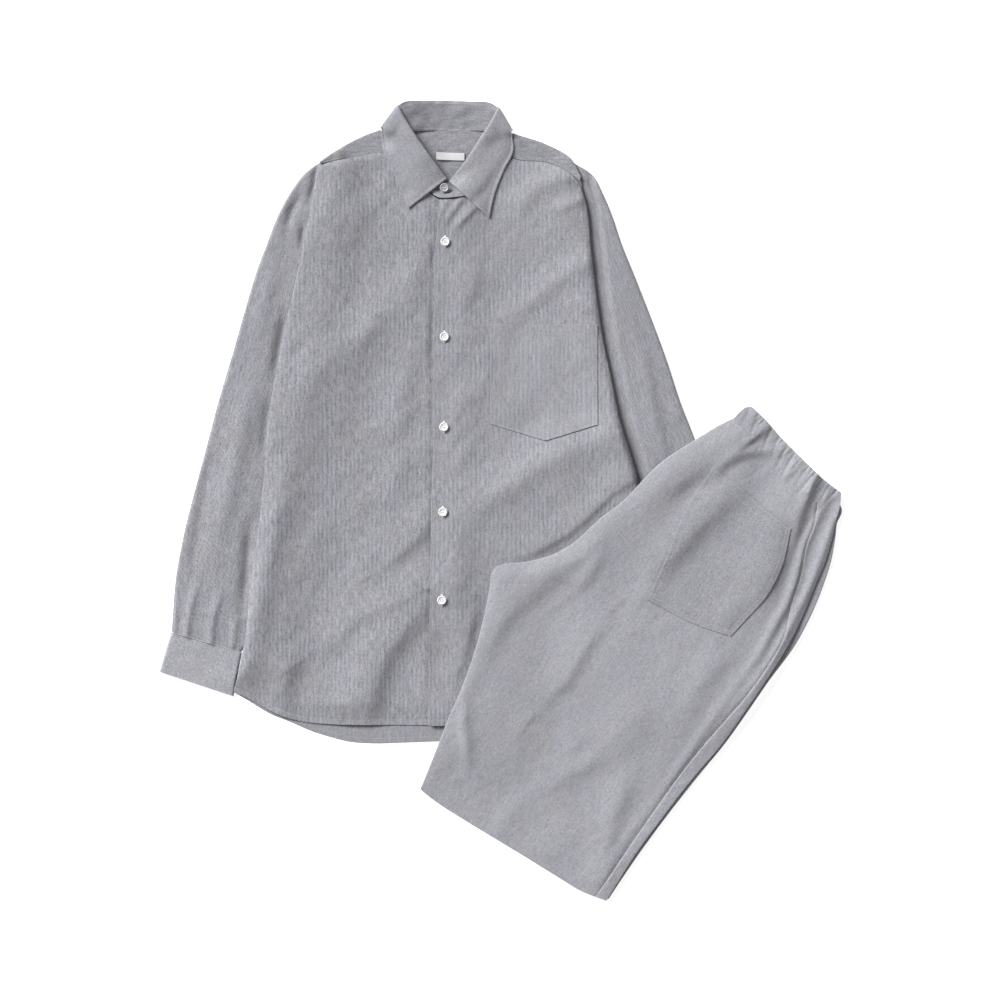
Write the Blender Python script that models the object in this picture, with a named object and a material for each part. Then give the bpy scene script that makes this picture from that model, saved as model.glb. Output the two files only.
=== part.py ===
"""Pyjama set laid flat: a long-sleeved button-up shirt with folded shorts on its lower left front.

The garments lie face up on the plane Z = 0. +Y runs to the collar and +X to the wearer's left
sleeve. Each cloth piece is a wall laid over whatever lies beneath it. A running map of the
heights already laid tells the next piece where it comes to rest.
"""
import bmesh
import bpy
import numpy as np

# Driving dimensions, in metres
MM = 0.001
CLOTH = 1.2 * MM            # wall of every cloth piece
SEAM_GAP = 0.35 * MM        # between pieces that touch
EASE = 1.7 * MM             # how far a panel stands clear of the one beneath
EASE_MOST = 3.4 * MM        # the highest that a fold lifts a panel
SLEEVE_THICK = 4.8 * MM     # flattened sleeve beside the body
SLEEVE_PRESSED = 3.3 * MM   # flattened sleeve under the body
CUFF_THICK = 5.2 * MM
SHORTS_STACK = 5.4 * MM     # hidden layers of the folded shorts
SHORTS_EASE_MOST = 5.2 * MM
BUTTON_WIDTH = 11.4 * MM
BUTTON_THICK = 2.4 * MM
BUTTON_SIDES = 12
LABEL_WALL = 1.0 * MM
GATHERS = 12                # gathers that show along the folded waistband
GATHER_RISE = 1.3 * MM
WAISTBAND_SEAT = 0.6 * MM   # how far the waistband stands clear between its gathers
SEAM_TURN = 9 * MM          # over which a panel comes down to its sewn side
PLACKET_FADE = 45 * MM      # over which the folds grow beside the front edge
SLEEVE_SHOULDER = 14 * MM   # over which a sleeve thickens beside the body
SLEEVE_MOST = 6.2 * MM      # the thickest that a fold makes a sleeve
STAND_LIFT = 2.4 * MM       # how far the stand's root stands off the fronts
COLLAR_LIFT = 1.6 * MM      # how far the leaf's root stands off the stand
LEAF_BULGE = 1.2 * MM       # how far the hidden layers stand out round their edge
PATCH_GAP = 1.3 * SEAM_GAP  # under a pocket, which follows its panel
STEEPEST = 0.45             # the least upright part of a normal that a wall is measured by
FOLD_END = 0.2              # share of a fold's length over which it fades
FOLD_END_LEFT = 0.35        # share of its rise that is left at its end

# How a piece comes to rest: how far out a thing beneath it holds it up, and over what distance the
# ground that it follows is softened
YOKE_SETTLE = (20 * MM, 8 * MM)
YOKE_STRIP_SETTLE = (6 * MM, 4 * MM)
LABEL_SETTLE = (5 * MM, 3 * MM)
BACK_SETTLE = (24 * MM, 10 * MM)
PANEL_SETTLE = (18 * MM, 8 * MM)
COLLAR_SETTLE = (8 * MM, 5 * MM)
BUTTON_SETTLE = (2 * MM, 1 * MM)
LAYERS_SETTLE = (34 * MM, 12 * MM)
WAISTBAND_SETTLE = (14 * MM, 8 * MM)

# Finishes: name, colour and roughness
COTTON = ("striped_cotton", (0.36, 0.36, 0.40), 0.85)
PEARLY = ("pearly_plastic", (0.80, 0.80, 0.80), 0.35)
TAPE = ("woven_tape", (0.72, 0.72, 0.74), 0.7)

# The map of heights: its cell and the corner it starts from
CELL = 2.5 * MM
MAP_START = (-0.47, -0.55)
MAP_SIZE = (380, 440)

# Outline of the shirt, as X, Y in millimetres
RIGHT_SIDE = ((-228, 415), (-237, 362), (-251, 294), (-266, 225), (-279, 162), (-288, 110),
              (-293, 50), (-298, 0), (-304, -55), (-312, -112), (-321, -188), (-333, -240))
LEFT_SIDE = ((100, 392), (106, 372), (113, 312), (121, 245), (128, 200), (136, 162), (149, 100),
             (171, 25), (181, -50), (189, -125), (197, -188), (206, -240))
BACK_HEM = ((-333, -240), (-313, -250), (-288, -265), (-263, -277), (-238, -288), (-213, -296),
            (-188, -302), (-160, -304), (-120, -303), (-60, -301), (0, -301), (50, -298),
            (100, -287), (150, -266), (187, -249), (206, -240))
RIGHT_FRONT_HEM = ((-333, -240), (-313, -249), (-288, -263), (-263, -273), (-238, -278), (-213, -280),
                   (-163, -281), (-120, -281), (-61, -282))
LEFT_FRONT_HEM = ((-90, -282), (-60, -282), (0, -281), (50, -279), (100, -272), (150, -257),
                  (187, -245), (206, -240))
FRONT_EDGE = ((-76, 371), (-78, 344), (-83, 297), (-82, 250), (-83, 175), (-83, 87), (-86, 0),
              (-88, -125), (-89, -188), (-90, -282))
BUTTON_STAND_EDGE = ((-54, 370), (-58, 250), (-60, 0), (-61, -282))
RIGHT_FRONT_TOP = ((-228, 415), (-221, 418.5), (-188, 426.6), (-147, 433.6), (-133, 434), (-107, 406),
                   (-88, 381), (-76, 371), (-54, 370))
LEFT_FRONT_TOP = ((-76, 371), (-69, 370), (-57, 372), (-47, 377), (-37, 386), (-22, 409), (-6, 432),
                  (4, 432), (17, 426), (62, 420), (86, 408), (100, 392))

# The yoke: where it turns over at the shoulders, its seams, and the neck seam between them
BACK_SEAM_Y = 356
BACK_SEAM_ENDS = (-238, 107)
RIGHT_SHOULDER = ((-226, 423), (-192, 444), (-146, 459))
LEFT_SHOULDER = ((15, 458), (58, 444), (89, 425), (100, 404))
RIGHT_YOKE_SEAM = ((-225, 420), (-188, 427.5), (-147, 434.5), (-134, 436))
LEFT_YOKE_SEAM = ((5, 433), (17, 427), (62, 421), (86, 409), (99, 398))
NECK_SEAM = ((-138, 460), (-119, 462.5), (-63, 463), (-18, 462.5), (7, 459))

# Sleeves, a row for each section: the outer fold and the fold under the body
RIGHT_SLEEVE = (
    # outer x, outer y, inner x, inner y
    (-226, 416, -238, 318),
    (-243, 404, -231, 268),
    (-262, 382, -229, 212),
    (-276, 356, -229, 166),
    (-290, 325, -232, 122),
    (-304, 288, -236, 80),
    (-320, 235, -242, 38),
    (-335, 182, -249, -4),
    (-352, 125, -258, -44),
    (-367, 68, -267, -82),
    (-382, 12, -278, -116),
    (-396, -44, -289, -143),
    (-406, -100, -304, -166),
    (-409, -137, -315, -179),
    (-411, -165, -324, -190),
)
LEFT_SLEEVE = (
    (97, 414, 97, 318),
    (112, 405, 90, 268),
    (130, 377, 90, 212),
    (139, 350, 94, 166),
    (151, 318, 99, 122),
    (166, 280, 105, 80),
    (188, 230, 113, 38),
    (207, 180, 122, -4),
    (225, 122, 133, -44),
    (244, 72, 144, -82),
    (258, 12, 155, -116),
    (273, -44, 167, -143),
    (283, -100, 182, -166),
    (286, -137, 193, -179),
    (288, -165, 203, -190),
)
RIGHT_CUFF = (
    (-411.4, -165.6, -324.6, -190.6),
    (-419, -190, -330, -215),
    (-425, -214, -336, -240),
)
LEFT_CUFF = (
    (288.4, -165.6, 203.6, -190.6),
    (296, -190, 208, -215),
    (303, -214, 213, -240),
)

# Collar leaf, a row for each section from the fold line at its root to its outer edge
COLLAR_RIGHT = (
    # root x, root y, edge x, edge y
    (-67, 401, -115, 364),
    (-85, 425, -127, 394),
    (-102, 449, -138, 418),
    (-117, 472, -147, 440),
)
COLLAR_RIGHT_TURN = (-130, 491, -150, 464)
COLLAR_BACK = (
    (-119, 497, -128, 453),
    (-92, 500, -94, 450),
    (-66, 501, -66, 449),
    (-40, 499, -38, 450),
    (-13, 496, -6, 453),
)
COLLAR_LEFT_TURN = (-1, 489, 20, 462)
COLLAR_LEFT = (
    (-14, 469, 16, 437),
    (-29, 446, 4, 411),
    (-44, 423, -7, 383),
    (-60, 401, -14, 352),
)

# Collar stand, a row for each section from its root at the collar fold to the neck seam
STAND_UNDER = (
    # root x, root y, seam x, seam y
    (-56, 389, -58, 373.5),
    (-68, 395, -76, 373),
    (-82, 417, -93, 391),
    (-98, 440, -112, 417),
    (-113, 462, -129, 439),
)
STAND_RIGHT_TURN = (-126, 485, -141, 466)
STAND_BACK = (
    (-117, 491, -119, 464.4),
    (-90, 494, -90, 464.4),
    (-66, 495, -63, 464.4),
    (-40, 494, -35, 464.4),
    (-14, 490, -8, 464.4),
)
STAND_LEFT_TURN = (-5, 484, 11, 465)
STAND_OVER = (
    (-18, 460, -1, 438),
    (-33, 437, -17, 413),
    (-48, 414, -32, 391),
    (-61, 398, -46, 376),
    (-75, 396, -66, 371.5),
    (-87, 390, -85, 379),
)

# Folds in the shirt: the path, how wide it is and how far it rises or falls, in millimetres
SHIRT_FOLDS = (
    (((-91, -138), (-119, -175), (-138, -200), (-151, -250), (-157, -278)), 12, -1.7),
    (((-251, -200), (-263, -269)), 12, -1.4),
    (((-263, 25), (-282, -75), (-294, -150), (-307, -225)), 12, -1.6),
    (((-94, -25), (-126, -63), (-151, -88)), 16, -1.2),
    (((-144, -138), (-188, -175), (-213, -194)), 16, -1.2),
    (((-144, 250), (-163, 194)), 15, -1.2),
    (((62, 75), (0, 19), (-38, 0)), 16, 1.6),
    (((124, 69), (49, 50), (0, 12), (-26, -38)), 14, -1.6),
    (((112, 281), (62, 262), (24, 238)), 13, -1.5),
    (((74, 288), (24, 250)), 13, 1.5),
    (((87, 406), (49, 381)), 14, -1.4),
    (((74, 406), (24, 375)), 14, 1.4),
)
SLEEVE_FOLDS = (
    (((-298, 212), (-319, 150), (-344, 62), (-357, 0)), 12, 1.5),
    (((-309, 112), (-319, 62), (-328, 0)), 10, -1.2),
    (((-369, 62), (-382, -50)), 12, 1.2),
    (((174, 200), (187, 125), (193, 75)), 12, -1.4),
    (((150, 260), (190, 170), (215, 80)), 14, 1.4),
)

# Shorts, folded in half along the centre and turned on the shirt, as X, Y in millimetres
WAIST_EDGE = ((306, 115), (318, 112), (350, 81), (378, 52), (403, 29), (425, 9))
WAIST_SEAM = ((291, 102), (314, 75), (343, 46), (374, 16), (399, -6), (419, -25))
RISE_AND_INSEAM = ((291, 102), (274, 94), (249, 79), (199, 46), (149, -4), (124, -23), (87, -56),
                   (62, -69), (37, -76), (-9, -87), (-14, -112), (-19, -138), (-32, -188),
                   (-50, -238), (-66, -275), (-78, -306), (-100, -357))
SIDE_SEAM = ((395, -2.5), (394, -14), (391, -30), (381, -56), (374, -94), (362, -131),
             (353, -171), (337, -200), (306, -244), (274, -281), (237, -325), (187, -394),
             (118, -495))
UPPER_LEG_SIDE = ((419, -25), (416, -38), (406, -75), (393, -106), (380, -138), (362, -175), (331, -225),
                  (306, -262), (274, -306), (237, -346), (199, -395), (166, -440), (132, -500))
BACK_LEG_HEM = ((-100, -357), (-76, -379), (-38, -403), (0, -425), (37, -446), (74, -469), (99, -485),
                (118, -495))
FRONT_LEG_HEM = ((118.6, -495.2), (132, -500))
STACK_RISE = ((303, 108), (277, 92), (249, 75), (199, 42), (149, -7), (124, -26), (87, -59), (62, -72),
              (37, -79), (-6, -90), (-11, -112), (-16, -138), (-29, -188), (-47, -238), (-63, -275),
              (-75, -306), (-96, -357))
STACK_WAIST = ((303, 108), (318, 107), (350, 77), (378, 48), (403, 25), (421, 6))
STACK_SIDE = ((421, 6), (422, -4), (425, -13), (419, -28), (417, -46), (412, -75), (402, -106), (389, -138),
              (371, -175), (338, -225), (311, -262), (279, -306), (241, -346), (202, -395), (169, -440),
              (134, -497))
STACK_HEM = ((-96, -357), (-74, -376), (-38, -399), (0, -421), (37, -442), (74, -465), (99, -481),
             (134, -497))

SHORTS_FOLDS = (
    (((331, 94), (299, 69), (262, 44)), 9, -1.5),
    (((362, 56), (312, 48), (287, 38), (272, 25)), 9, -1.5),
    (((131, -69), (87, -100), (49, -125), (0, -175), (-32, -238)), 18, -1.5),
    (((124, -156), (99, -200), (74, -238), (49, -275)), 16, -1.2),
    (((237, -38), (199, -106)), 14, -1.6),
    (((385, 0), (378, -19), (366, -50), (349, -88), (331, -125)), 8, -1.7),
    (((389, -12), (374, -56), (362, -100), (343, -138), (331, -169)), 9, 3.2),
    (((404, -30), (393, -95), (376, -145), (362, -170)), 8, 1.6),
    (((299, -238), (249, -288)), 14, -1.2),
    (((164, -350), (139, -425), (149, -450)), 14, -1.4),
    (((-51, -250), (-57, -338)), 12, 1.4),
)

# Patches cut from a panel: corners in order, in millimetres
CHEST_POCKET = ((-13, 219), (-13, 95), (56, 74), (121, 94), (121, 219))
SHORTS_POCKET = ((265, 40), (237, 0), (183, -124), (190, -131), (287, -170), (299, -160),
                 (331, -119), (362, -36))
LABEL = ((-80, 434), (-80, 425), (-45, 424), (-45, 433))
WAISTBAND_RISE_END = ((306, 115), (299, 109), (291.3, 102.4))
WAISTBAND_SIDE_END = ((425, 9), (423, -10), (419.3, -24.6))

# Button centres in millimetres: the first on the stand, the others down the front edge
BUTTONS = ((-70, 389.5), (-69, 322.5), (-70, 203.8), (-70.6, 91.2), (-71.9, -15), (-73.1, -125))

# Spacings: shares of a panel's width or length, closer together where it turns
BODY_DOWN = (0.0, 0.012) + tuple(np.linspace(0.012, 1.0, 30)[1:])
RIGHT_FRONT_ACROSS = (0.0, 0.02) + tuple(np.linspace(0.06, 0.95, 9)) + (1.0,)
LEFT_FRONT_ACROSS = (0.0,) + tuple(np.linspace(0.06, 0.94, 11)) + (0.98, 1.0)
BACK_ACROSS = (0.0,) + tuple(np.linspace(0.03, 0.97, 12)) + (1.0,)
LAYERS_ACROSS = (0.0,) + tuple(np.linspace(0.03, 0.97, 9)) + (1.0,)
LAYERS_DOWN = (0.0,) + tuple(np.linspace(0.02, 0.98, 17)) + (1.0,)
BACK_LEG_ACROSS = (0.0, 0.03) + tuple(np.linspace(0.1, 0.76, 9)) + (0.81, 0.85, 0.89, 0.925, 0.96, 1.0)
FRONT_LEG_ACROSS = (0.0, 0.3, 0.65, 1.0)
LEG_DOWN = (0.0,) + tuple(np.linspace(0.02, 1.0, 24))
WAISTBAND_DOWN = (0.0, 0.12, 0.6, 1.0)
WAISTBAND_SHAPE = (0.0, 0.8 * MM, 0.8 * MM, 0.3 * MM)  # how far each of those rows is lifted
YOKE_BACK_ROWS = (0.0, 0.25, 0.5, 0.75, 1.0)
YOKE_STRIP_ROWS = (0.35, 0.7, 1.0)
HALF_TURN = (-90, -45, 0, 45, 90)   # degrees at which the rows of a turned edge lie

# Rings of a button: share of its radius and of its thickness, from its underside to its dish
BUTTON_PROFILE = ((0.0, 0.0), (0.80, 0.0), (1.0, 0.35), (1.0, 0.7), (0.85, 1.0), (0.62, 0.72), (0.0, 0.72))

# Rings round the edge of the hidden layers: share of the height, and of the bulge
LAYERS_EDGE = ((0.17, 1.0), (0.33, 0.2), (0.50, 1.0), (0.67, 0.2), (0.83, 1.0))

# Positions of a flattened tube's ring: across from the outer fold, and up
RING = (
    (0.000, 0.50), (0.012, 0.80), (0.045, 0.96), (0.14, 1.0), (0.30, 1.0), (0.46, 1.0), (0.62, 1.0),
    (0.78, 1.0), (0.92, 1.0), (0.975, 0.90), (1.000, 0.50), (0.975, 0.12), (0.93, 0.0), (0.62, 0.0),
    (0.30, 0.0), (0.06, 0.0), (0.015, 0.15),
)
RING_TOP = 11               # the first ring positions, which make its upper side

height_map = np.zeros((MAP_SIZE[1], MAP_SIZE[0]))


def clear_scene():
    """Remove every object that the file opens with."""
    for thing in list(bpy.data.objects):
        bpy.data.objects.remove(thing, do_unlink=True)


def finish(piece, kind):
    """A piece's own Principled material."""
    name, colour, roughness = kind
    material = bpy.data.materials.new(f"{piece}_{name}")
    material.use_nodes = True
    shader = material.node_tree.nodes["Principled BSDF"]
    shader.inputs["Base Color"].default_value = (*colour, 1.0)
    shader.inputs["Roughness"].default_value = roughness
    shader.inputs["Metallic"].default_value = 0.0
    return material


def curve(points, places):
    """Smooth curve through points in millimetres, read at fractions of its length, in metres.

    Each span is a cubic whose end slopes follow the neighbouring points.
    """
    knots = np.array(points, float) * MM
    steps = np.linalg.norm(np.diff(knots, axis=0), axis=1)
    at = np.concatenate([[0.0], np.cumsum(steps)])
    slopes = np.gradient(knots, at, axis=0)
    fine = np.linspace(0.0, at[-1], 600)
    span = np.clip(np.searchsorted(at, fine, side="right") - 1, 0, len(steps) - 1)
    width = steps[span][:, None]
    t = ((fine - at[span]) / steps[span])[:, None]
    path = ((2 * t**3 - 3 * t**2 + 1) * knots[span] + (t**3 - 2 * t**2 + t) * width * slopes[span]
            + (3 * t**2 - 2 * t**3) * knots[span + 1] + (t**3 - t**2) * width * slopes[span + 1])
    length = np.concatenate([[0.0], np.cumsum(np.linalg.norm(np.diff(path, axis=0), axis=1))])
    wanted = np.asarray(places) * length[-1]
    return np.stack([np.interp(wanted, length, path[:, axis]) for axis in range(2)], axis=1)


def panel(top, bottom, left, right, across, down):
    """Grid inside four edge curves: the blend of opposite edges less the blend of the corners."""
    u = np.asarray(across)[None, :, None]
    v = np.asarray(down)[:, None, None]
    upper = curve(top, across)[None]
    lower = curve(bottom, across)[None]
    first = curve(left, down)[:, None]
    last = curve(right, down)[:, None]
    corners = ((1 - u) * (1 - v) * upper[:, :1] + u * (1 - v) * upper[:, -1:]
               + (1 - u) * v * lower[:, :1] + u * v * lower[:, -1:])
    return (1 - v) * upper + v * lower + (1 - u) * first + u * last - corners


def ease_in(t):
    """Smooth step from 0 to 1."""
    t = np.clip(t, 0.0, 1.0)
    return t * t * (3 - 2 * t)


def distance_to_path(xy, path):
    """Distance from each point to a path in millimetres, and how far along it the nearest place is."""
    knots = np.array(path, float) * MM
    steps = np.linalg.norm(np.diff(knots, axis=0), axis=1)
    before = np.concatenate([[0.0], np.cumsum(steps)])
    best = np.full(xy.shape[:-1], np.inf)
    along = np.zeros(xy.shape[:-1])
    for index, step in enumerate(steps):
        direction = (knots[index + 1] - knots[index]) / step
        travel = np.clip((xy - knots[index]) @ direction, 0.0, step)
        gap = np.linalg.norm(xy - knots[index] - travel[..., None] * direction, axis=-1)
        nearer = gap < best
        best = np.where(nearer, gap, best)
        along = np.where(nearer, before[index] + travel, along)
    return best, along / before[-1]


def fold_rise(xy, folds):
    """Sum of the folds: each is a rounded ridge or trough along its path, which fades at its ends."""
    rise = np.zeros(xy.shape[:-1])
    for path, width, height in folds:
        gap, along = distance_to_path(xy, path)
        fade = ease_in(along / FOLD_END) * ease_in((1 - along) / FOLD_END)
        fade = FOLD_END_LEFT + (1 - FOLD_END_LEFT) * fade
        rise += height * MM * np.exp(-(gap / (width * MM))**2) * fade
    return rise


def read_map(field, xy):
    """Heights of a map at points, between its cells."""
    place = (xy - np.array(MAP_START)) / CELL
    column = np.clip(place[..., 0].astype(int), 0, MAP_SIZE[0] - 2)
    row = np.clip(place[..., 1].astype(int), 0, MAP_SIZE[1] - 2)
    s = place[..., 0] - column
    t = place[..., 1] - row
    return ((1 - s) * (1 - t) * field[row, column] + s * (1 - t) * field[row, column + 1]
            + (1 - s) * t * field[row + 1, column] + s * t * field[row + 1, column + 1])


def disc(radius):
    """Cell offsets that lie inside a radius."""
    cells = int(np.ceil(radius / CELL))
    rows, columns = np.mgrid[-cells:cells + 1, -cells:cells + 1]
    inside = np.hypot(rows, columns) * CELL <= radius + CELL
    return zip(rows[inside], columns[inside])


def resting_height(xy, settle, ground=None):
    """Height at which cloth comes to rest: the highest thing within reach, then smoothed."""
    reach, soften = settle
    field = height_map if ground is None else ground
    widest = np.zeros_like(height_map)
    for row, column in disc(reach + soften):
        widest = np.maximum(widest, np.roll(field, (row, column), (0, 1)))
    total = np.zeros_like(height_map)
    count = 0
    for row, column in disc(soften):
        total += np.roll(widest, (row, column), (0, 1))
        count += 1
    return read_map(total / count, xy)


def map_of(grid):
    """Map of one laid surface, with the gap that the next piece keeps above it."""
    steps = np.linspace(0.0, 1.0, 17)
    p, q = (values[..., None] for values in np.meshgrid(steps, steps))
    a, b = grid[:-1, :-1, None, None], grid[:-1, 1:, None, None]
    d, c = grid[1:, :-1, None, None], grid[1:, 1:, None, None]
    points = np.where(p >= q, a + p * (b - a) + q * (c - b), a + q * (d - a) + p * (c - d))
    points = points.reshape(-1, 3)
    cells = np.rint((points[:, :2] - np.array(MAP_START)) / CELL).astype(int)
    inside = np.all((cells >= 0) & (cells < np.array(MAP_SIZE)), axis=1)
    cells, heights = cells[inside], points[inside, 2] + SEAM_GAP
    field = np.zeros_like(height_map)
    np.maximum.at(field, (cells[:, 1], cells[:, 0]), heights)
    return field


def press(grid):
    """Record a laid surface in the running map."""
    np.maximum(height_map, map_of(grid), out=height_map)


def normals(grid):
    """Unit normals of a grid, from the slopes of its rows and columns, turned upwards on average."""
    across = np.gradient(grid, axis=1)
    down = np.gradient(grid, axis=0)
    normal = np.cross(across, down)
    return normal / np.maximum(np.linalg.norm(normal, axis=-1, keepdims=True), 1e-12)


def make_object(name, points, triangles, kind):
    """Mesh object from points and triangles, with its faces turned outwards."""
    a, b, c = (points[triangles[:, corner]] for corner in range(3))
    if np.einsum("ij,ij->i", a, np.cross(b, c)).sum() < 0:
        triangles = triangles[:, ::-1]
    used, renumbered = np.unique(triangles, return_inverse=True)
    mesh = bpy.data.meshes.new(name)
    mesh.from_pydata(points[used].tolist(), [], renumbered.reshape(-1, 3).tolist())
    mesh.validate()
    mesh.shade_smooth()
    mesh.materials.append(finish(name, kind))
    thing = bpy.data.objects.new(name, mesh)
    bpy.context.scene.collection.objects.link(thing)
    return thing


def grid_triangles(rows, columns, keep=None):
    """Two triangles for each cell of a grid."""
    corner = np.arange((rows - 1) * columns).reshape(rows - 1, columns)[:, :-1]
    if keep is not None:
        corner = corner[keep]
    a = corner.ravel()
    b, c, d = a + 1, a + columns + 1, a + columns
    return np.concatenate([np.stack([a, b, c], 1), np.stack([a, c, d], 1)])


def open_edges(triangles):
    """Directed edges that only one triangle has."""
    edges = np.concatenate([triangles[:, [0, 1]], triangles[:, [1, 2]], triangles[:, [2, 0]]])
    key = np.sort(edges, axis=1)
    _, first, uses = np.unique(key, axis=0, return_index=True, return_counts=True)
    return edges[first[uses == 1]]


def shell(name, lower, upper, kind, keep=None):
    """Closed wall between a lower and an upper grid, joined by a rim."""
    rows, columns = upper.shape[:2]
    top = grid_triangles(rows, columns, keep)
    shift = rows * columns
    rim = open_edges(top)
    p, q = rim[:, 0], rim[:, 1]
    sides = np.concatenate([np.stack([q, p, p + shift], 1), np.stack([q, p + shift, q + shift], 1)])
    triangles = np.concatenate([top, top[:, ::-1] + shift, sides])
    points = np.concatenate([upper.reshape(-1, 3), lower.reshape(-1, 3)])
    return make_object(name, points, triangles, kind)


def with_height(xy, height):
    """Grid of points from places and heights."""
    return np.concatenate([xy, height[..., None]], axis=-1)


def lay(name, xy, ease, settle, kind, ground=None, wall=CLOTH):
    """Lay a panel over the map, or over an earlier state of it where a piece is sewn on beside it: its
    underside rests there plus its ease, and its wall stands on that."""
    lower = with_height(xy, resting_height(xy, settle, ground) + ease)
    slope = np.abs(normals(lower)[..., 2])
    upper = lower.copy()
    upper[..., 2] += wall / np.clip(slope, STEEPEST, 1.0)
    press(upper)
    shell(name, lower, upper, kind)
    return upper


def side_ease(xy, folds, most, side):
    """Ease of a panel with its folds, brought down to nothing over a short turn at its sewn side."""
    ease = np.clip(EASE + fold_rise(xy, folds), 0.0, most)
    gap, _ = distance_to_path(xy, side)
    return ease * np.sqrt(1 - (1 - np.clip(gap / SEAM_TURN, 0, 1))**2)


def flat_tube(name, sections, rows, thick, kind):
    """Flattened tube with open ends: rings along it, a ring of walls inside, joined at the ends."""
    table = np.array(sections, float)
    places = np.linspace(0.0, 1.0, rows)
    outer = curve(table[:, :2], places)
    inner = curve(table[:, 2:], places)
    ring = np.array(RING)
    width = np.linalg.norm(inner - outer, axis=1)[:, None]

    def ring_points(inset):
        across = inset / width + ring[None, :, 0] * (1 - 2 * inset / width)
        xy = outer[:, None] * (1 - across[..., None]) + inner[:, None] * across[..., None]
        height = thick(xy)
        return with_height(xy, inset + ring[None, :, 1] * (height - 2 * inset))

    outside, inside = ring_points(0.0), ring_points(CLOTH)
    count = ring.shape[0]
    index = np.arange(rows * count).reshape(rows, count)
    nearby = np.roll(index, -1, axis=1)
    a, b, c, d = index[:-1].ravel(), nearby[:-1].ravel(), nearby[1:].ravel(), index[1:].ravel()
    skin = np.concatenate([np.stack([a, b, c], 1), np.stack([a, c, d], 1)])
    shift = rows * count
    ends = []
    for row, flip in ((0, 1), (rows - 1, -1)):
        p, q = index[row], nearby[row]
        end = np.concatenate([np.stack([q, p, p + shift], 1), np.stack([q, p + shift, q + shift], 1)])
        ends.append(end[:, ::flip])
    triangles = np.concatenate([skin, skin[:, ::-1] + shift] + ends)
    points = np.concatenate([outside.reshape(-1, 3), inside.reshape(-1, 3)])
    press(outside[:, :RING_TOP])
    return make_object(name, points, triangles, kind)


def sleeve_thickness(body_side, outward):
    """Thickness of a sleeve: pressed under the body, fuller beside it, with its long folds. outward
    is 1 or -1, the way from the body to the sleeve along X."""
    def thick(xy):
        gap, _ = distance_to_path(xy, body_side)
        side = np.array(body_side, float) * MM
        side_x = np.interp(-xy[..., 1], -side[:, 1], side[:, 0])
        clear = np.where((xy[..., 0] - side_x) * outward > 0, ease_in(gap / SLEEVE_SHOULDER), 0.0)
        fuller = SLEEVE_THICK - SLEEVE_PRESSED + fold_rise(xy, SLEEVE_FOLDS)
        return SLEEVE_PRESSED + clear * np.clip(fuller, 0.0, SLEEVE_MOST - SLEEVE_PRESSED)
    return thick


def turned_rows(line, inward, low, high, rising):
    """Rows of a half circle about a line: from the low layer to the high one, or back down."""
    radius = (high - low) / 2
    angles = np.radians(HALF_TURN)
    if not rising:
        angles = angles[::-1]
    rows = []
    for angle in angles:
        place = line + (radius * (1 - np.cos(angle)))[..., None] * inward
        rows.append(with_height(place, low + radius * (1 + np.sin(angle))))
    return np.array(rows)


def band(name, rows, steps, low, lift, kind):
    """Collar band, a strip that lies low at the back of the neck and turns over at each shoulder to
    come forward on top, where its root is lifted. rows holds the right front, the right turn, the
    back, the left turn and the left front."""
    places = np.linspace(0.0, 1.0, steps)
    raised = lift * (1 - places)**2 + CLOTH / 2 + SEAM_GAP / 2

    def across(table):
        ends = np.array(table, float).reshape(-1, 4) * MM
        return ends[:, None, :2] * (1 - places)[:, None] + ends[:, None, 2:] * places[:, None]

    def on_top(xy):
        return with_height(xy, resting_height(xy, COLLAR_SETTLE) + raised)

    def inward(line, towards):
        direction = line[-1] - line[0]
        side = np.array([-direction[1], direction[0]]) / np.linalg.norm(direction)
        return side * np.sign(side @ (towards - line.mean(axis=0)))

    right, right_turn, back, left_turn, left = (across(table) for table in rows)
    first_line, last_line = right_turn[0], left_turn[0]
    right = on_top(right)
    first_high = on_top(first_line[None])[0, :, 2]
    first = turned_rows(first_line, inward(first_line, back[0].mean(axis=0)), low, first_high, False)
    press(right + (0, 0, CLOTH / 2))
    left = on_top(left)
    last_high = on_top(last_line[None])[0, :, 2]
    last = turned_rows(last_line, inward(last_line, back[-1].mean(axis=0)), low, last_high, True)
    back = with_height(back, np.full(back.shape[:2], low))
    middle = np.concatenate([right, first, back, last, left])
    offset = normals(middle) * CLOTH / 2
    lower, upper = middle - offset, middle + offset
    press(lower)
    press(upper)
    return shell(name, lower, upper, kind)


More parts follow.
